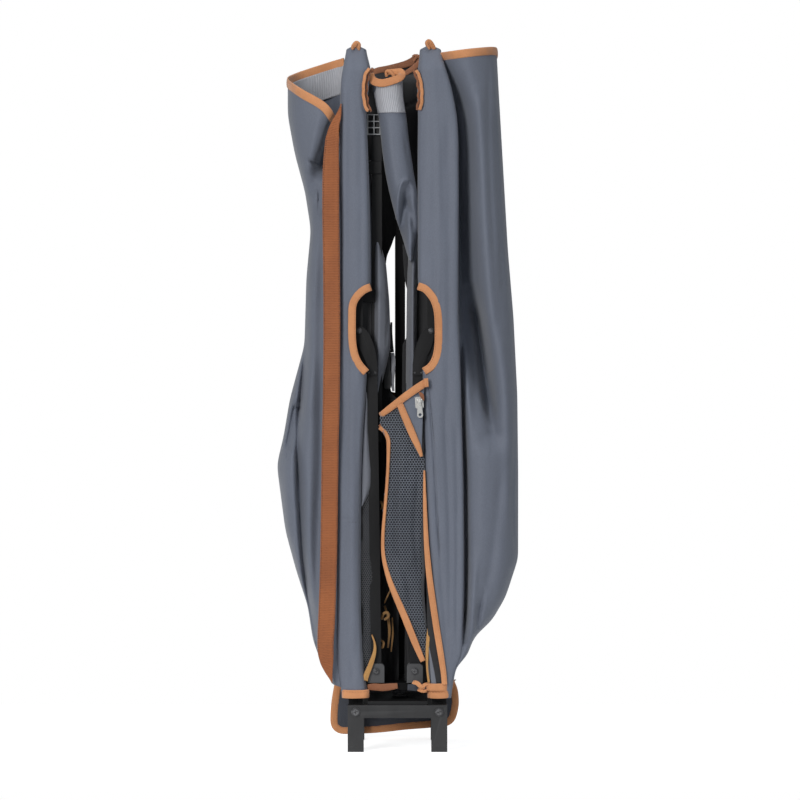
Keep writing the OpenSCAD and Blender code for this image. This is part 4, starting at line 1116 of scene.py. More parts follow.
o = tape_mesh("front_edge_curl", p, (0.2, -1, 0.1), 0.0048, 0.0022, pucker=0.0005, seed=23, crown=0.3, twist=np.linspace(0.5, -0.5, len(p)))
finish_tape(o, "binding", "right_frame")
# left end of the bound edge drops behind the slot
q = GL((367.2, 86.5), (369.6, 79.5), (371.4, 72.5), (372.8, 69.5))
p = step_points(np.stack([q[:, 0], np.array([-0.082, -0.086, -0.088, -0.084]), q[:, 1]], 1), 0.0018)
o = tape_mesh("front_edge_end", p, (0.1, -1, 0), 0.0052, 0.0026, pucker=0.0008, seed=24, crown=0.3)
finish_tape(o, "binding_painted_shade", "right_frame")

# rear wall of the mouth, with its crumpled bound rim
q = GL((372.2, 69.8), (378, 67.4), (388, 65.4), (398, 63.0), (408, 60.2), (414, 57.4), (418.6, 54.8))
p = step_points(np.stack([q[:, 0], np.array([0.060, 0.061, 0.062, 0.061, 0.058, 0.054, 0.050]), q[:, 1]], 1), 0.0026)
RB = ("base", "right_frame")
o = tape_mesh("rear_rim_binding", p, (0, -1, 0.25), np.interp(np.linspace(0, 1, len(p)), [0, 0.6, 0.85, 1], [0.010, 0.0105, 0.013, 0.014]), 0.0034, pucker=0.0010, seed=25, crown=0.3)
finish_tape(o, "binding_painted_shade", "right_frame")
q = GL((401.5, 73.5), (406.5, 70.4), (411.5, 67.0), (416.0, 63.2), (420.0, 59.4))
p = step_points(np.stack([q[:, 0], np.array([0.030, 0.034, 0.038, 0.042, 0.046]), q[:, 1]], 1), 0.0022)
o = tape_mesh("rear_rim_binding_near", p, (0.1, -1, 0.35), 0.0085, 0.0030, pucker=0.0018, seed=26, crown=0.3, twist=np.linspace(-0.5, 0.5, len(p)))
finish_tape(o, "binding_painted_shade", "right_frame")
q = GL((413.0, 58.4), (415.2, 54.6), (413.6, 53.0), (418.6, 53.6), (421.4, 55.2))
p = step_points(np.stack([q[:, 0], np.array([0.048, 0.047, 0.047, 0.046, 0.045]), q[:, 1]], 1), 0.0012)
o = tape_mesh("rear_rim_crease", p, (0, -1, 0.2), 0.0058, 0.0024, pucker=0.0010, seed=27, crown=0.3, twist=np.linspace(-0.4, 0.6, len(p)))
finish_tape(o, "binding_painted_shade", "right_frame")

# black sheets behind the front cloth, for the deep shade inside the mouth: painted shade
BL = Edge((396.5, 56), (397.5, 66), (398, 80), (404, 112), (408, 150), (414, 200), (418, 226), soft=0.008)
BR = Edge((424, 56), (424, 226), soft=0.008)
o, Pk = strip("mouth_painted_shade_sheet", BL, BR, G(0, 226)[1], G(0, 62.6)[1], lambda z: 0.010 + 0.050 * smoothstep(1.045, 1.068, z), 80, 30, "black_cloth_and_painted_shade", "right_frame", thick=0.0010, seed=13, noise_amp=0.004,
              folds=[([(404, 105), (412, 102), (420, 97)], 0.8, 2.5, dict(ends=0))])
LLn = Edge((366, 66), (366, 262), soft=0.008)
LRn = Edge((405, 66), (404, 110), (402, 160), (400, 205), (398, 228), (393.4, 238), (392.0, 243), (389.6, 248.5), (386.9, 254.5), (385.9, 262), soft=0.003)
o, _ = strip("mouth_painted_shade_sheet_left", LLn, LRn, G(0, 262)[1], G(0, 67)[1], lambda z: 0.030 + 0.030 * smoothstep(1.040, 1.062, z), 110, 40, "black_cloth_and_painted_shade", "left_frame", thick=0.0010, seed=14, noise_amp=0.005)

# inner folds beside the centre tube: left one with a light swelling, right one narrower
IL_L = Edge((359, 160), (359, 420), soft=0.008)
IL_R = Edge((370.6, 162), (372.2, 180), (373.6, 196), (376.0, 216), (379.5, 240), (383.2, 254), (385.6, 262), (387.2, 280), (389.0, 300), (389.8, 322), (390.2, 345), (389.0, 352), (385.4, 368), (381.2, 385), (379.5, 398), (378.8, 420), soft=0.0045)


def left_inner_shape(t, Z):
    """In front of the stay tube, swelling towards the middle gap and turning back at its free edge."""
    zc = Z[:, :1]
    x = IL_L(zc[:, 0])[:, None] + t * (IL_R(zc[:, 0]) - IL_L(zc[:, 0]))[:, None]
    return -0.0655 - 0.0145 * smoothstep(-0.0375, -0.0285, x) * smoothstep(0.93, 0.88, zc) - 0.004 * smoothstep(0.93, 0.96, zc) + 0.024 * t**7


o, Pi = strip("left_inner_cloth", IL_L, IL_R, G(0, 420)[1], G(0, 160)[1], 0.0, 170, 60, "slate_inner", "left_frame", ["left_inner_fold"], thick=0.0011, seed=5, noise_amp=0.0009,
              shape=left_inner_shape,
              folds=[([(380, 282), (379.5, 312), (378, 345), (375, 372)], 2.6, -1.6, dict(ends=0.03)),
                     ([(386.5, 286), (387.5, 315), (386, 345)], 1.4, 4, dict(ends=0.02)),
                     ([(377, 200), (379, 240), (381, 262)], 1.6, -0.8, dict(ends=0.02))])
# black sheets behind the gap's lower half, to the right of the centre tube and inside the round cuts: painted shade
for nm, lx, rx, r0, r1, y0, body, sd in (
        ("gap_painted_shade_left", Edge((377, 336), (377, 412), soft=0.004), Edge((383.6, 336), (388.2, 344), (389.4, 350), (391.5, 353), (391.7, 370), (389.9, 375), (390.0, 386), (391.0, 390.5), (392.8, 394.4), (394.6, 396.2), (398.0, 398.5), (399, 412), soft=0.0018), 334, 412, -0.0300, "left_frame", 75),
        ("gap_painted_shade_right", Edge((402.6, 246), (403.4, 262), (404.4, 276), (405.8, 284.6), (407.4, 290), soft=0.003), Edge((424, 246), (424, 290), soft=0.004), 244, 290, -0.0380, "right_frame", 76),
        ("gap_painted_shade_right_low", Edge((406.6, 337), (404.8, 340.5), (402.6, 344), (402.0, 412), soft=0.002), Edge((424, 337), (424, 412), soft=0.004), 336, 412, -0.0380, "right_frame", 77),
        ("moon_painted_shade_right", Edge((414, 262), (414, 402), soft=0.004), Edge((439, 262), (439, 402), soft=0.004), 262, 402, -0.0530, "right_frame", 78),
        ("moon_painted_shade_left", Edge((356, 262), (356, 402), soft=0.004), Edge((366, 262), (370.6, 290), (371.6, 310), (371.8, 345), (370.4, 402), soft=0.004), 268, 402, -0.0690, "left_frame", 79)):
    strip(nm, lx, rx, G(0, r1)[1], G(0, r0)[1], y0, 60, 26, "black_cloth_and_painted_shade", body, thick=0.0010, seed=sd, noise_amp=0.002)
IR_L = Edge((412.0, 214), (410.2, 236), (408.8, 256), (407.6, 275), (407.0, 300), (406.7, 330), (406.3, 350), (406.2, 372), (406.2, 402), soft=0.0045)
IR_R = Edge((424, 200), (423.6, 228), (419.6, 252), (417.0, 276), (416.6, 310), (416.4, 402), soft=0.006)
o, Pj = strip("right_inner_cloth", IR_L, IR_R, G(0, 402)[1], G(0, 202)[1], -0.057, 150, 40, "slate_inner", "right_frame", ["right_inner_fold"], thick=0.0011, seed=6, noise_amp=0.0012,
              shape=lambda t, Z: -0.012 * np.sin(math.pi * t) ** 0.8 + 0.012 * (1 - t) ** 4 - 0.006 * smoothstep(0.1, 0.5, t + 0 * Z),
              folds=[([(418.6, 262), (419, 300), (417, 340)], 2.6, 8, dict(ends=0.03)), ([(413, 214), (413, 300), (413.5, 380)], 2.2, -4, dict(ends=0.03))])
# outline of the light lower point of the front cloth that passes behind the right sleeve; no cloth is built on it
IP_L = Edge((410.6, 236), (409.4, 255), (408.6, 262), soft=0.004)

# strip of cloth with a lower pocket net on the left of the left brace
SL_R = Edge((366.4, 392), (367.4, 402), (368.0, 430), (369.6, 452), (371.4, 470), (371.0, 486), (368.4, 494), (364.0, 503), (361, 507), soft=0.003)
o, _ = strip("left_low_cloth", Edge((366.4, 392), (365.9, 402), (363.7, 430), (362.5, 460), (361.8, 490), (361.6, 508), soft=0.003), SL_R, G(0, 506)[1], G(0, 392)[1], -0.0950, 60, 18, "slate_inner", "left_frame", thick=0.0009, seed=16, noise_amp=0.0006,
             shape=lambda t, Z: -0.0022 * np.sin(math.pi * t) + 0.004 * t**4)
PN_L = Edge((358, 486), (358, 664), soft=0.004)
PN_R = Edge((371.6, 484), (371.8, 560), (372.4, 610), (372.6, 640), (370, 664), (366, 684), soft=0.004)


def pocket_y(x, z):
    return -0.0938 + 0.0022 * math.sin(z * 38) + 0.0012 * math.sin(z * 95 + x * 200) + 0.0030 * ((x + 0.052) / 0.012) ** 2


def in_left_pocket(x, z):
    return z > 0.112 and z < G(0, 486)[1] + (0.0 if x > -0.047 else -0.0) - max(0.0, (-0.0405 - x)) * 1.35 and float(PN_L(z)) < x < float(PN_R(z)) - 0.0006


net_mesh("left_pocket_net", in_left_pocket, pocket_y, 0.0034, 0.0030, (-0.062, -0.038, 0.108, 0.414), 0.00085, "net_thread_dark", "left_frame", ["left_pocket"])
strip("left_pocket_lining", Edge((357, 385), (357, 690), soft=0.004), Edge((368.6, 385), (368.8, 440), (371.4, 484), (371.8, 560), (372.4, 640), (370, 664), (366, 684), soft=0.004), G(0, 684)[1], G(0, 388)[1], -0.0868, 110, 20, "net_back", "left_frame", thick=0.0010, seed=17, noise_amp=0.0015)
# bound edge at the pocket's foot
q = GL((371.8, 634.5), (374.6, 643), (374.4, 652), (370.6, 664), (366.6, 674), (364.8, 680))
p = step_points(np.stack([q[:, 0], np.array([-0.099, -0.101, -0.1015, -0.102, -0.1025, -0.103]), q[:, 1]], 1), 0.0016)
o = tape_mesh("left_pocket_edge", p, (0.15, -1, 0), np.interp(np.linspace(0, 1, len(p)), [0, 0.25, 0.6, 1], [0.0018, 0.0040, 0.0078, 0.0092]), 0.0020, pucker=0.0006, seed=28, crown=0.2)
finish_tape(o, "ochre", "left_frame")

# ribbed face of the stay's cap: a frame of light ribs around six hollows
bm = bmesh.new()


def rib(x0, x1, z0, z1, y0=-0.0736, y1=-0.0718):
    v = [bm.verts.new((x, y, z)) for x in (x0, x1) for y in (y0, y1) for z in (z0, z1)]
    for f in ((0, 1, 3, 2), (4, 6, 7, 5), (0, 4, 5, 1), (2, 3, 7, 6), (0, 2, 6, 4), (1, 5, 7, 3)):
        bm.faces.new([v[i] for i in f])


for x in (-0.0464, -0.0366, -0.0272):
    rib(x - 0.0008, x + 0.0008, 0.9586, 0.9906)
for z in (0.9594, 0.9696, 0.9794, 0.9898):
    rib(-0.0470, -0.0266, z - 0.0008, z + 0.0008, -0.0734)
bm.normal_update()
me = bpy.data.meshes.new("stay_cap_ribs")
bm.to_mesh(me)
bm.free()
o = bpy.data.objects.new("stay_cap_ribs", me)
bpy.context.scene.collection.objects.link(o)
me.materials.append(M["worn_plastic"])
modifier(o, "BEVEL", width=0.0003, segments=2)
bpy.context.view_layer.update()
bake_mods(o)
place(o, "left_frame")

# ------------------------------------------------------------------ net pocket hanging over the front, with its tapes
MF_L = Edge((380.2, 413), (380.2, 424), (388.4, 441), (387.0, 472), (382.8, 524), (382.3, 548), (386.0, 574), (394, 597), (408, 628), (421.8, 659), soft=0.004)
MF_R = Edge((428.4, 379), (427.4, 400), (424.0, 470), (423.0, 520), (422.4, 548), (420.6, 566), (423.8, 600), (427, 640), (427, 662), soft=0.005)
zs = np.linspace(G(0, 659.5)[1], G(0, 383)[1], 230)
t = np.linspace(0, 1, 64)
L, R = MF_L(zs), MF_R(zs)
TOPL = GL((378.5, 418.2), (428.8, 382.0))
X = L[:, None] + t[None, :] * (R - L)[:, None]
Z = np.tile(zs[:, None], (1, 64))
ztop = TOPL[0, 1] + (X - TOPL[0, 0]) * (TOPL[1, 1] - TOPL[0, 1]) / (TOPL[1, 0] - TOPL[0, 0])
Z = np.minimum(Z, ztop)
Y = -0.1116 + 0.0 * X
Y -= 0.0055 * np.sin(math.pi * t)[None, :] ** 0.9 * smoothstep(0.14, 0.30, Z)
Y += fold(X, Z, [(404, 440), (400, 520), (404, 600)], 4.5, -3.0)
Y += fold(X, Z, [(396, 474), (394, 520), (396, 560)], 3.0, 3.5)
Y += fold(X, Z, [(392, 545), (402, 565), (412, 610)], 3.6, 4.5)
Y += fold(X, Z, [(418, 470), (414, 530), (419, 580)], 2.4, 4.0)
Y += fold(X, Z, [(398, 572), (408, 566), (418, 557)], 1.4, -2.0, ends=0.02)
Y += wavy(X, Z, 40, 8, 51, 0.0022)
Pm = np.stack([X, Y, Z], 2)
zrow = zs.copy()


def net_depth(x, z):
    """The pocket's surface at a point of its outline plane."""
    i = np.clip((z - zrow[0]) / (zrow[-1] - zrow[0]) * (len(zrow) - 1), 0, len(zrow) - 1.001)
    i0 = int(i)
    l, r = float(MF_L(z)), float(MF_R(z))
    j = np.clip((x - l) / max(r - l, 1e-6) * 63, 0, 62.999)
    j0 = int(j)
    a, b = i - i0, j - j0
    return float((Y[i0, j0] * (1 - b) + Y[i0, j0 + 1] * b) * (1 - a) + (Y[i0 + 1, j0] * (1 - b) + Y[i0 + 1, j0 + 1] * b) * a)


SLANT = Edge((400.8, 380), (400.8, 404), (405.5, 415.6), (411.4, 430.0), (417.4, 443.6), (423.0, 457), (428.0, 470), (440, 480), soft=0.001)


def in_pocket(x, z):
    if not zrow[0] + 0.001 < z:
        return False
    l, r = float(MF_L(z)) + 0.0006, min(float(MF_R(z)) - 0.0006, float(SLANT(z)))
    top = TOPL[0, 1] + (x - TOPL[0, 0]) * (TOPL[1, 1] - TOPL[0, 1]) / (TOPL[1, 0] - TOPL[0, 0])
    return l < x < r and z < top - 0.0010


net_mesh("pocket_net", in_pocket, net_depth, 0.0043, 0.0036, (-0.029, 0.052, 0.136, 0.580), 0.00115, "net_thread", "right_frame", ["mesh_flap"])
Yb = Y + 0.0028
o = grid_mesh("pocket_net_backing", np.stack([np.minimum(X, np.maximum(SLANT(Z[:, 0])[:, None], X[:, :1] + 0.001)), Yb, Z], 2))
cloth(o, M["net_back"], thick=0.0009, body="right_frame")


def front_tape(name, pts, ys, width, key="binding", thick=0.0030, seed=1, pucker=0.0005, tw=None, normal=(0, -1, 0), body="right_frame", step=0.0022, stands_for=(),
               stitch=None):
    q = GL(*pts)
    yv = np.interp(np.linspace(0, 1, len(q)), np.linspace(0, 1, len(ys)), ys) if np.ndim(ys) else np.full(len(q), ys)
    p = step_points(np.stack([q[:, 0], yv, q[:, 1]], 1), step)
    w = np.interp(np.linspace(0, 1, len(p)), np.linspace(0, 1, len(width)), width) if np.ndim(width) else width
    twv = None if tw is None else np.interp(np.linspace(0, 1, len(p)), np.linspace(0, 1, len(tw)), tw)
    o = tape_mesh(name, p, normal, w, thick, pucker=pucker, seed=seed, crown=0.3, twist=twv)
    finish_tape(o, key, body, stands_for=stands_for)
    if stitch is not None:
        ww = w if np.ndim(w) else np.full(len(p), w)
        q2 = p.copy()
        t_, s_, n_ = frames(p, normal)
        q2 += s_ * (ww * stitch)[:, None]
        add_stitches(name + "_stitches", q2, normal, thick * 0.5 + 0.0003, body)
    return o, p


front_tape("pocket_top_tape", [(380.6, 414.6), (384, 412.4), (396, 403.4), (408, 394.4), (418, 387.4), (425.6, 382.6)], [-0.1080, -0.1170, -0.1212, -0.1215, -0.1205], [0.0080, 0.0102, 0.0112, 0.0118, 0.0122, 0.0120], seed=41, stitch=-0.34)
front_tape("pocket_corner_tab", [(425.9, 378.2), (426.2, 382.2), (426.6, 386.8)], -0.1232, 0.0070, seed=42, thick=0.0030)
front_tape("pocket_corner_fold", [(418.8, 392.0), (421.6, 394.8), (423.8, 400.4)], [-0.1196, -0.1206, -0.1190], [0.0016, 0.0066, 0.0056, 0.0016], key="binding_painted_shade", seed=43, thick=0.0018)
front_tape("pocket_slant_tape", [(399.8, 404.0), (403.4, 412.6), (408.4, 424.4), (413.4, 436.0), (418.6, 447.6), (421.6, 456.0)], [-0.1202, -0.1206, -0.1206, -0.1196, -0.1170], [0.0104, 0.0112, 0.0116, 0.0112, 0.0096, 0.0048], seed=44, stitch=0.34)
# slate corner to the right of the slanting tape
CL = Edge((400, 386), (400, 404), (407, 421), (415, 440), (420.6, 454), soft=0.003)
CR = Edge((424.6, 384), (423.4, 400), (421.9, 440), (421.6, 456), soft=0.003)
zs = np.linspace(G(0, 455)[1], G(0, 386)[1], 60)
t = np.linspace(0, 1, 22)
X = CL(zs)[:, None] + t[None, :] * (CR(zs) - CL(zs))[:, None]
Z = np.minimum(np.tile(zs[:, None], (1, 22)), TOPL[0, 1] + (X - TOPL[0, 0]) * (TOPL[1, 1] - TOPL[0, 1]) / (TOPL[1, 0] - TOPL[0, 0]))
Y = -0.1176 + 0.0012 * (2 * t[None, :] - 1) ** 2 + wavy(X, Z, 60, 12, 52, 0.0010)
o = grid_mesh("pocket_corner_cloth", np.stack([X, Y, Z], 2))
cloth(o, M["slate"], thick=0.0010, body="right_frame")
# left edge tape of the net, down to the right foot, and its turned upper end
front_tape("pocket_left_tape", [(379.6, 427.0), (384.6, 431.4), (388.0, 438.6), (388.5, 448), (388.0, 466), (386.8, 486), (385.0, 508), (383.2, 530), (382.9, 548), (384.6, 562), (389.6, 580),
                                (396.6, 597.5), (403.8, 614), (411.5, 633), (418.4, 650), (423.0, 660.5)],
           [-0.1080, -0.1120, -0.1135, -0.1145, -0.1150, -0.1150, -0.1150, -0.1150, -0.1155, -0.1150],
           [0.0070, 0.0066, 0.0052, 0.0050, 0.0050, 0.0052, 0.0056, 0.0068, 0.0088, 0.0104, 0.0112, 0.0108, 0.0080], seed=45, thick=0.0028, tw=[0.5, 0.7, 0.5, 0.2, 0.1, 0])
front_tape("pocket_left_tape_back", [(379.4, 424.4), (383.6, 428.6), (386.4, 434.0)], [-0.106, -0.108, -0.110], [0.0050, 0.0060, 0.0040], key="binding_painted_shade", seed=46, thick=0.0020)
front_tape("right_edge_tape", [(424.3, 470), (424.8, 500), (426.3, 540), (429.0, 572), (432.6, 600), (437.0, 630), (441.2, 656), (443.6, 672), (444.6, 684)],
           [-0.1130, -0.1150, -0.1160, -0.1170, -0.1175, -0.1170], [0.0030, 0.0058, 0.0074, 0.0092, 0.0104, 0.0104, 0.0098, 0.0086], seed=47, stitch=0.30)
front_tape("right_thin_tape", [(429.2, 620), (428.2, 636), (427.2, 652), (427.3, 668), (429.0, 682)], [-0.1120, -0.1145, -0.1150, -0.1150, -0.1145], [0.0022, 0.0056, 0.0052, 0.0034, 0.0038], key="ochre", seed=48, thick=0.0022)
# narrow slate strip and black cloth between the tapes
front_tape("right_slate_strip", [(429.0, 646), (430.6, 658), (432.4, 671), (434.0, 684)], -0.1162, [0.0008, 0.0040, 0.0064, 0.0080], key="slate_inner", seed=49, thick=0.0012)
front_tape("right_black_strip", [(427.6, 590), (430.6, 622), (433.8, 648), (436.6, 668), (438.2, 684)], -0.1152, [0.0020, 0.0092, 0.0130, 0.0150, 0.0150], key="black_cloth_and_painted_shade", seed=50, thick=0.0012)
front_tape("zip_tape_cloth", [(418.6, 392), (420.8, 420), (422.8, 462), (424.2, 500), (426.0, 540), (428.4, 580), (431.6, 618), (436.6, 664)], [-0.1120, -0.1106, -0.1090, -0.1085, -0.1085],
           [0.0070, 0.0060, 0.0056, 0.0062, 0.0070, 0.0080], key="zip_tape", seed=53, thick=0.0016, stands_for=["zip_tape"])
front_tape("net_right_edge", [(424.2, 474), (423.4, 510), (422.6, 548), (423.6, 566), (422.8, 590), (426.0, 626)], [-0.1128, -0.1140, -0.1146, -0.1140], [0.0014, 0.0040, 0.0050, 0.0046, 0.0026], key="mesh_black", seed=54, thick=0.0014)

# teeth of the zip, in two close rows down the tape
zt0, zt1 = np.array([0.0334, 0.552]), np.array([0.0615, 0.124])
n_teeth = 92
vs, fs = [], []
dirv = (zt1 - zt0) / np.linalg.norm(zt1 - zt0)
per = np.array([dirv[1], -dirv[0]])
for i in range(n_teeth):
    c = zt0 + (zt1 - zt0) * (0.075 + 0.13 * i / n_teeth)
    sgn = 1 if i % 2 else -1
    a = c + per * sgn * 0.0011
    b = len(vs)
    for dx in (-0.0014, 0.0014):
        for dz in (-0.0005, 0.0005):
            for dy in (-0.0008, 0.0006):
                q = a + per * dx + dirv * dz
                vs.append((q[0], -0.1146 + dy, q[1]))
    for f in ((0, 1, 3, 2), (4, 6, 7, 5), (0, 4, 5, 1), (2, 3, 7, 6), (0, 2, 6, 4), (1, 5, 7, 3)):
        fs.append(tuple(b + k for k in f))
me = bpy.data.meshes.new("zip_teeth")
me.from_pydata(vs, [], fs)
o = bpy.data.objects.new("zip_teeth", me)
bpy.context.scene.collection.objects.link(o)
me.materials.append(M["plastic"])
modifier(o, "BEVEL", width=0.0002, segments=1)
bpy.context.view_layer.update()
bake_mods(o)
place(o, "right_frame")

# ochre cords and knots showing deep in the middle gap
for k, (pts, ys, w) in enumerate((
        ([(390.5, 590), (387.5, 596), (384.5, 603)], [-0.070, -0.074, -0.070], [0.0016, 0.0028, 0.0018]),
        ([(381.5, 619), (383.6, 613.5), (387.4, 612.5), (388.4, 616.4), (384.4, 619.6)], [-0.080, -0.084, -0.086, -0.084, -0.080], 0.0044),
        ([(384.6, 606), (388.0, 618), (389.4, 632), (388.0, 648)], [-0.066, -0.070, -0.070, -0.066], [0.0028, 0.0050, 0.0040, 0.0022]),
        ([(381.0, 640), (383.6, 643), (382.2, 647.6), (380.6, 645)], [-0.082, -0.085, -0.085, -0.082], 0.0038),
        ([(392.2, 618), (392.6, 636), (391.2, 652)], [-0.060, -0.064, -0.060], [0.0016, 0.0034, 0.0018]),
        ([(380.8, 501), (382.2, 505), (381.2, 509)], [-0.078, -0.081, -0.078], 0.0032))):
    front_tape(f"inner_cord_{k}", pts, ys, w, key="ochre_deep", seed=60 + k, thick=0.0022, body="left_frame", step=0.0012, tw=[-0.6, 0.5])
front_tape("inner_tan_bar", [(367.5, 686.9), (374, 686.6), (382, 687.2), (391, 686.4), (397.6, 685.4)], [-0.0960, -0.0965, -0.0968, -0.0966, -0.0962], [0.0090, 0.0112, 0.0116, 0.0110, 0.0086], key="binding_painted_shade", seed=67, thick=0.0022, body="hub")
front_tape("bottom_cloth_edge", [(407.5, 687.0), (416, 687.2), (424, 686.6), (431, 686.8)], -0.0958, [0.0095, 0.0112, 0.0112, 0.0100], key="floor", seed=70, thick=0.0022, body="hub")

# grey patterned tape hanging from the buckle
o, p = front_tape("buckle_tape", [(392.4, 352.5), (393.2, 360), (392.8, 372), (392.4, 382), (393.4, 391)], [-0.040, -0.0375, -0.0375, -0.038, -0.038], [0.0060, 0.0070, 0.0066, 0.0060, 0.0034], key="band", seed=68,
                  thick=0.0014, body="left_frame", tw=[0.3, -0.2, 0.2])
front_tape("buckle_tape_upper", [(391.4, 322), (391.0, 334), (391.6, 346), (392.2, 352)], [-0.046, -0.042, -0.040, -0.039], [0.0030, 0.0050, 0.0060], key="zip_tape", seed=69, thick=0.0014, body="left_frame")

# black sheets low behind the braces: painted shade
for nm, lx, rx, y0, body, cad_, sd in (("left_low_painted_shade", Edge((362, 405), (362, 700), soft=0.01), Edge((398.6, 398), (398.6, 470), (398.6, 700), soft=0.01), -0.030, "left_frame", None, 71),
                                      ("right_low_painted_shade", Edge((405.6, 400), (405.6, 470), (405.2, 560), (404.8, 700), soft=0.01), Edge((436, 400), (436, 700), soft=0.01), -0.034, "right_frame", None, 72)):
    strip(nm, lx, rx, G(0, 690)[1], G(0, 399)[1], y0, 140, 30, "black_cloth_and_painted_shade", body, thick=0.0010, seed=sd, noise_amp=0.004, shape=lambda t, Z: 0.006 * np.sin(t * 9 + Z * 6))

# rear cloth, open in the middle, one sheet on each frame
for side, sg in (("left", -1), ("right", 1)):
    a = 0.0535 * sg
    zs = np.linspace(0.142, 1.058, 220)
    reach = np.where(zs < 0.556, 0.0012, 0.0012 + 0.0492 * smoothstep(0.540, 0.585, zs) * (1 - smoothstep(0.775, 0.815, zs)))
    t = np.linspace(0, 1, 40)
    X = a + t[None, :] * (reach * sg - a)[:, None]
    Z = np.tile(zs[:, None], (1, 40))
    Y = 0.0635 + 0.006 * np.sin(math.pi * t)[None, :] + wavy(X, Z, 70, 7, 80 + sg, 0.005)
    P = np.stack([X, Y, Z], 2)
    o = grid_mesh(f"{side}_rear_sheet", P, flip=sg > 0)
    cloth(o, M["slate_inner"], thick=0.0012, body=f"{side}_frame", stands_for=[f"{side}_rear_cloth"])
    e = P[:, -1]
    e = step_points(e, 0.004)
    o = tape_mesh(f"{side}_rear_sheet_binding", e, (0, 1, 0), 0.0085, 0.0028, pucker=0.0006, seed=84 + sg, crown=0.3)
    finish_tape(o, "binding_painted_shade", f"{side}_frame")

# ------------------------------------------------------------------ floor flap, hanging behind the rear feet
def rounded_outline(pts, radius, n=14):
    out = []
    m = len(pts)
    for i in range(m):
        p0, p1, p2 = np.array(pts[i - 1], float), np.array(pts[i], float), np.array(pts[(i + 1) % m], float)
        a, b = p0 - p1, p2 - p1
        r = radius[i] if np.ndim(radius) else radius
        la, lb = np.linalg.norm(a), np.linalg.norm(b)
        r = min(r, la * 0.45, lb * 0.45)
        pa, pb = p1 + a / la * r, p1 + b / lb * r
        for s in np.linspace(0, 1, n):
            out.append((1 - s) ** 2 * pa + 2 * s * (1 - s) * p1 + s * s * pb)
    return np.array(out)


flap_o = rounded_outline([(-0.0960, 0.1035), (-0.1035, 0.060), (-0.1040, 0.0185), (-0.0150, 0.0192), (0.088, 0.0320), (0.0955, 0.060), (0.0935, 0.086), (0.0860, 0.1035)], [0.003, 0.03, 0.026, 0.05, 0.024, 0.02, 0.02, 0.003])
c0 = flap_o.mean(0)
rings = np.linspace(0.0005, 1.0, 26)
cols = step_points(np.vstack([flap_o, flap_o[:1]]), 0.0022)[:-1]
P = []
for r in rings:
    q = c0 + (cols - c0) * (r * 0.950)
    yy = 0.1262 + 0.0016 * np.sin(q[:, 0] * 42 + 1) * (1 - 0.3 * r) + 0.0012 * np.cos(q[:, 1] * 75) + 0.0006 * np.sin(q[:, 0] * 150)
    P.append(np.stack([q[:, 0], yy, q[:, 1]], 1))
P = np.array(P)
o = grid_mesh("floor_flap_cloth", P, closed=True, flip=False)
cloth(o, M["floor"], thick=0.0030, body="floor_flap", stands_for=["floor_panel"])
inset = 0.0048
ed = []
for i in range(len(cols)):
    d = cols[i] - c0
    ed.append(cols[i] - d / np.linalg.norm(d) * inset)
ed = np.array(ed)
yy = 0.1266 + 0.0016 * np.sin(ed[:, 0] * 42 + 1) * 0.7 + 0.0012 * np.cos(ed[:, 1] * 75) + 0.0006 * np.sin(ed[:, 0] * 150)
p3 = np.stack([ed[:, 0], yy, ed[:, 1]], 1)
# the tape runs down one side, along the foot and up the other
top = np.argmax((p3[:, 2] > 0.0975) & (np.abs(p3[:, 0]) < 0.03))
p3 = np.roll(p3, -top, axis=0)
keep = p3[:, 2] < 0.0995
k0 = int(np.argmax(keep))
run = np.array([q for q in p3[k0:] if q[2] < 0.1005])
run = step_points(run, 0.0028)
o = tape_mesh("floor_flap_binding", run, (0, -1, 0), 0.0118, 0.0052, pucker=0.0006, seed=90, crown=0.25)
finish_tape(o, "binding", "floor_flap", stands_for=["floor_binding"])
s = add_stitches("floor_flap_stitches", run, (0, -1, 0), 0.0030, "floor_flap", side=0.0038)

# ------------------------------------------------------------------ floor, light and camera
def plane(name, x, y, z, mat):
    me = bpy.data.meshes.new(name)
    me.from_pydata([(-x, -y, z), (x, -y, z), (x, y, z), (-x, y, z)], [], [(0, 1, 2, 3)])
    o = bpy.data.objects.new(name, me)
    bpy.context.scene.collection.objects.link(o)
    me.materials.append(mat)
    return o


def floor_mat():
    m = bpy.data.materials.new("pale_floor")
    m.use_nodes = True
    nt = m.node_tree
    b = nt.nodes["Principled BSDF"]
    b.inputs["Base Color"].default_value = (0.88, 0.88, 0.88, 1)
    b.inputs["Roughness"].default_value = 0.85
    b.inputs["Specular IOR Level"].default_value = 0.15
    tex = nt.nodes.new("ShaderNodeTexNoise")
    tex.inputs["Scale"].default_value = 3.0
    r = nt.nodes.new("ShaderNodeMapRange")
    r.inputs["To Min"].default_value = 0.82
    r.inputs["To Max"].default_value = 0.88
    nt.links.new(tex.outputs["Fac"], r.inputs["Value"])
    nt.links.new(r.outputs["Result"], b.inputs["Roughness"])
    b.inputs["Emission Color"].default_value = (1, 1, 1, 1)
    lp = nt.nodes.new("ShaderNodeLightPath")
    glow = nt.nodes.new("ShaderNodeMapRange")
    glow.inputs["To Min"].default_value = 0.22
    glow.inputs["To Max"].default_value = 0.82
    nt.links.new(lp.outputs["Is Camera Ray"], glow.inputs["Value"])
    nt.links.new(glow.outputs["Result"], b.inputs["Emission Strength"])
    return m


fl = plane("floor", 1.3, 0.75, 0.0, floor_mat())

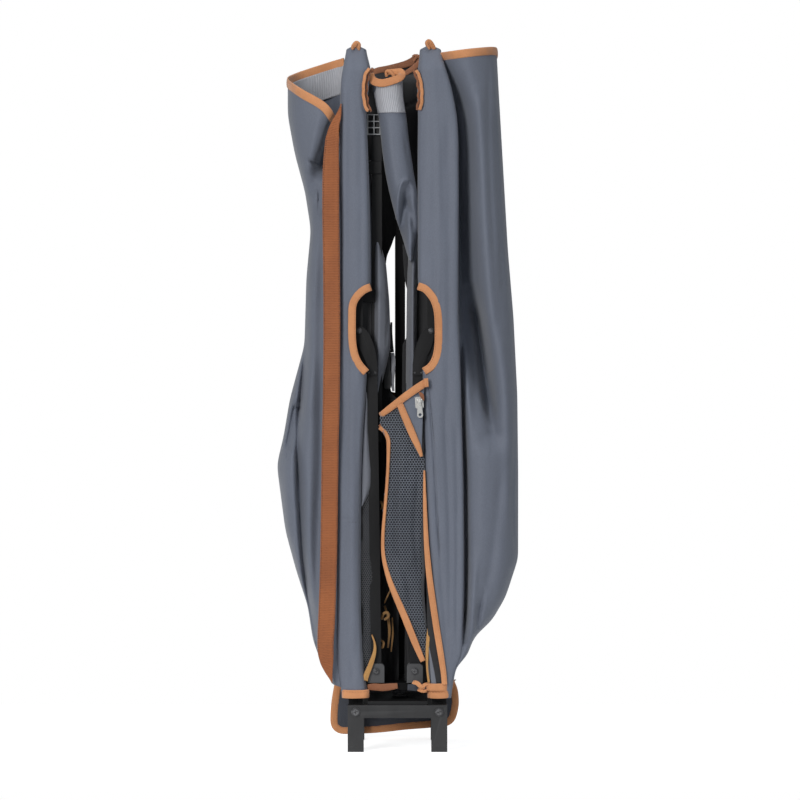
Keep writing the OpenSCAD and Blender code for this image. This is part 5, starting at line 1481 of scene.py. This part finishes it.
world = bpy.data.worlds.new("studio")
bpy.context.scene.world = world
world.use_nodes = True
nt = world.node_tree
for n in list(nt.nodes):
    nt.nodes.remove(n)
out = nt.nodes.new("ShaderNodeOutputWorld")
mix = nt.nodes.new("ShaderNodeMixShader")
lp = nt.nodes.new("ShaderNodeLightPath")
soft = nt.nodes.new("ShaderNodeBackground")
soft.inputs["Color"].default_value = (0.90, 0.95, 1.0, 1)
soft.inputs["Strength"].default_value = 0.20
seen = nt.nodes.new("ShaderNodeBackground")
seen.inputs["Color"].default_value = (1, 1, 1, 1)
seen.inputs["Strength"].default_value = 1.0
nt.links.new(lp.outputs["Is Camera Ray"], mix.inputs["Fac"])
nt.links.new(soft.outputs["Background"], mix.inputs[1])
nt.links.new(seen.outputs["Background"], mix.inputs[2])
nt.links.new(mix.outputs["Shader"], out.inputs["Surface"])


def area(name, loc, target, size, power, color=(1, 1, 1), size_y=None):
    li = bpy.data.lights.new(name, "AREA")
    li.energy = power
    li.color = color
    li.shape = "RECTANGLE"
    li.size = size
    li.size_y = size_y or size
    o = bpy.data.objects.new(name, li)
    bpy.context.scene.collection.objects.link(o)
    o.location = loc
    o.rotation_euler = (Vector(target) - Vector(loc)).to_track_quat("-Z", "Y").to_euler()
    return o


area("key", (-1.35, -3.1, 1.75), (0, -0.05, 0.64), 0.9, 76, (1.0, 0.99, 0.975), size_y=1.6)
area("fill", (2.4, -2.1, 2.1), (0.05, 0, 0.90), 1.0, 19, (0.95, 0.975, 1.0))
area("crown", (0.2, -0.4, 2.9), (0, 0, 0.5), 1.2, 10)
area("edge_left", (-2.3, 0.5, 1.0), (0, 0, 0.50), 1.0, 4, (0.95, 0.97, 1.0))

cam_data = bpy.data.cameras.new("photo_camera")
cam = bpy.data.objects.new("photo_camera", cam_data)
bpy.context.scene.collection.objects.link(cam)
cam_data.sensor_width = 36.0
DIST = 12.0
target = Vector((0.0039, -0.06, 0.5455))
el = math.radians(2.5)
cam.location = target + Vector((0, -DIST * math.cos(el), DIST * math.sin(el)))
cam.rotation_euler = (target - cam.location).to_track_quat("-Z", "Y").to_euler()
cam_data.lens = 36.0 * DIST / (800 * U)
cam_data.clip_end = 60
bpy.context.scene.camera = cam
bpy.context.scene.view_settings.view_transform = "Standard"
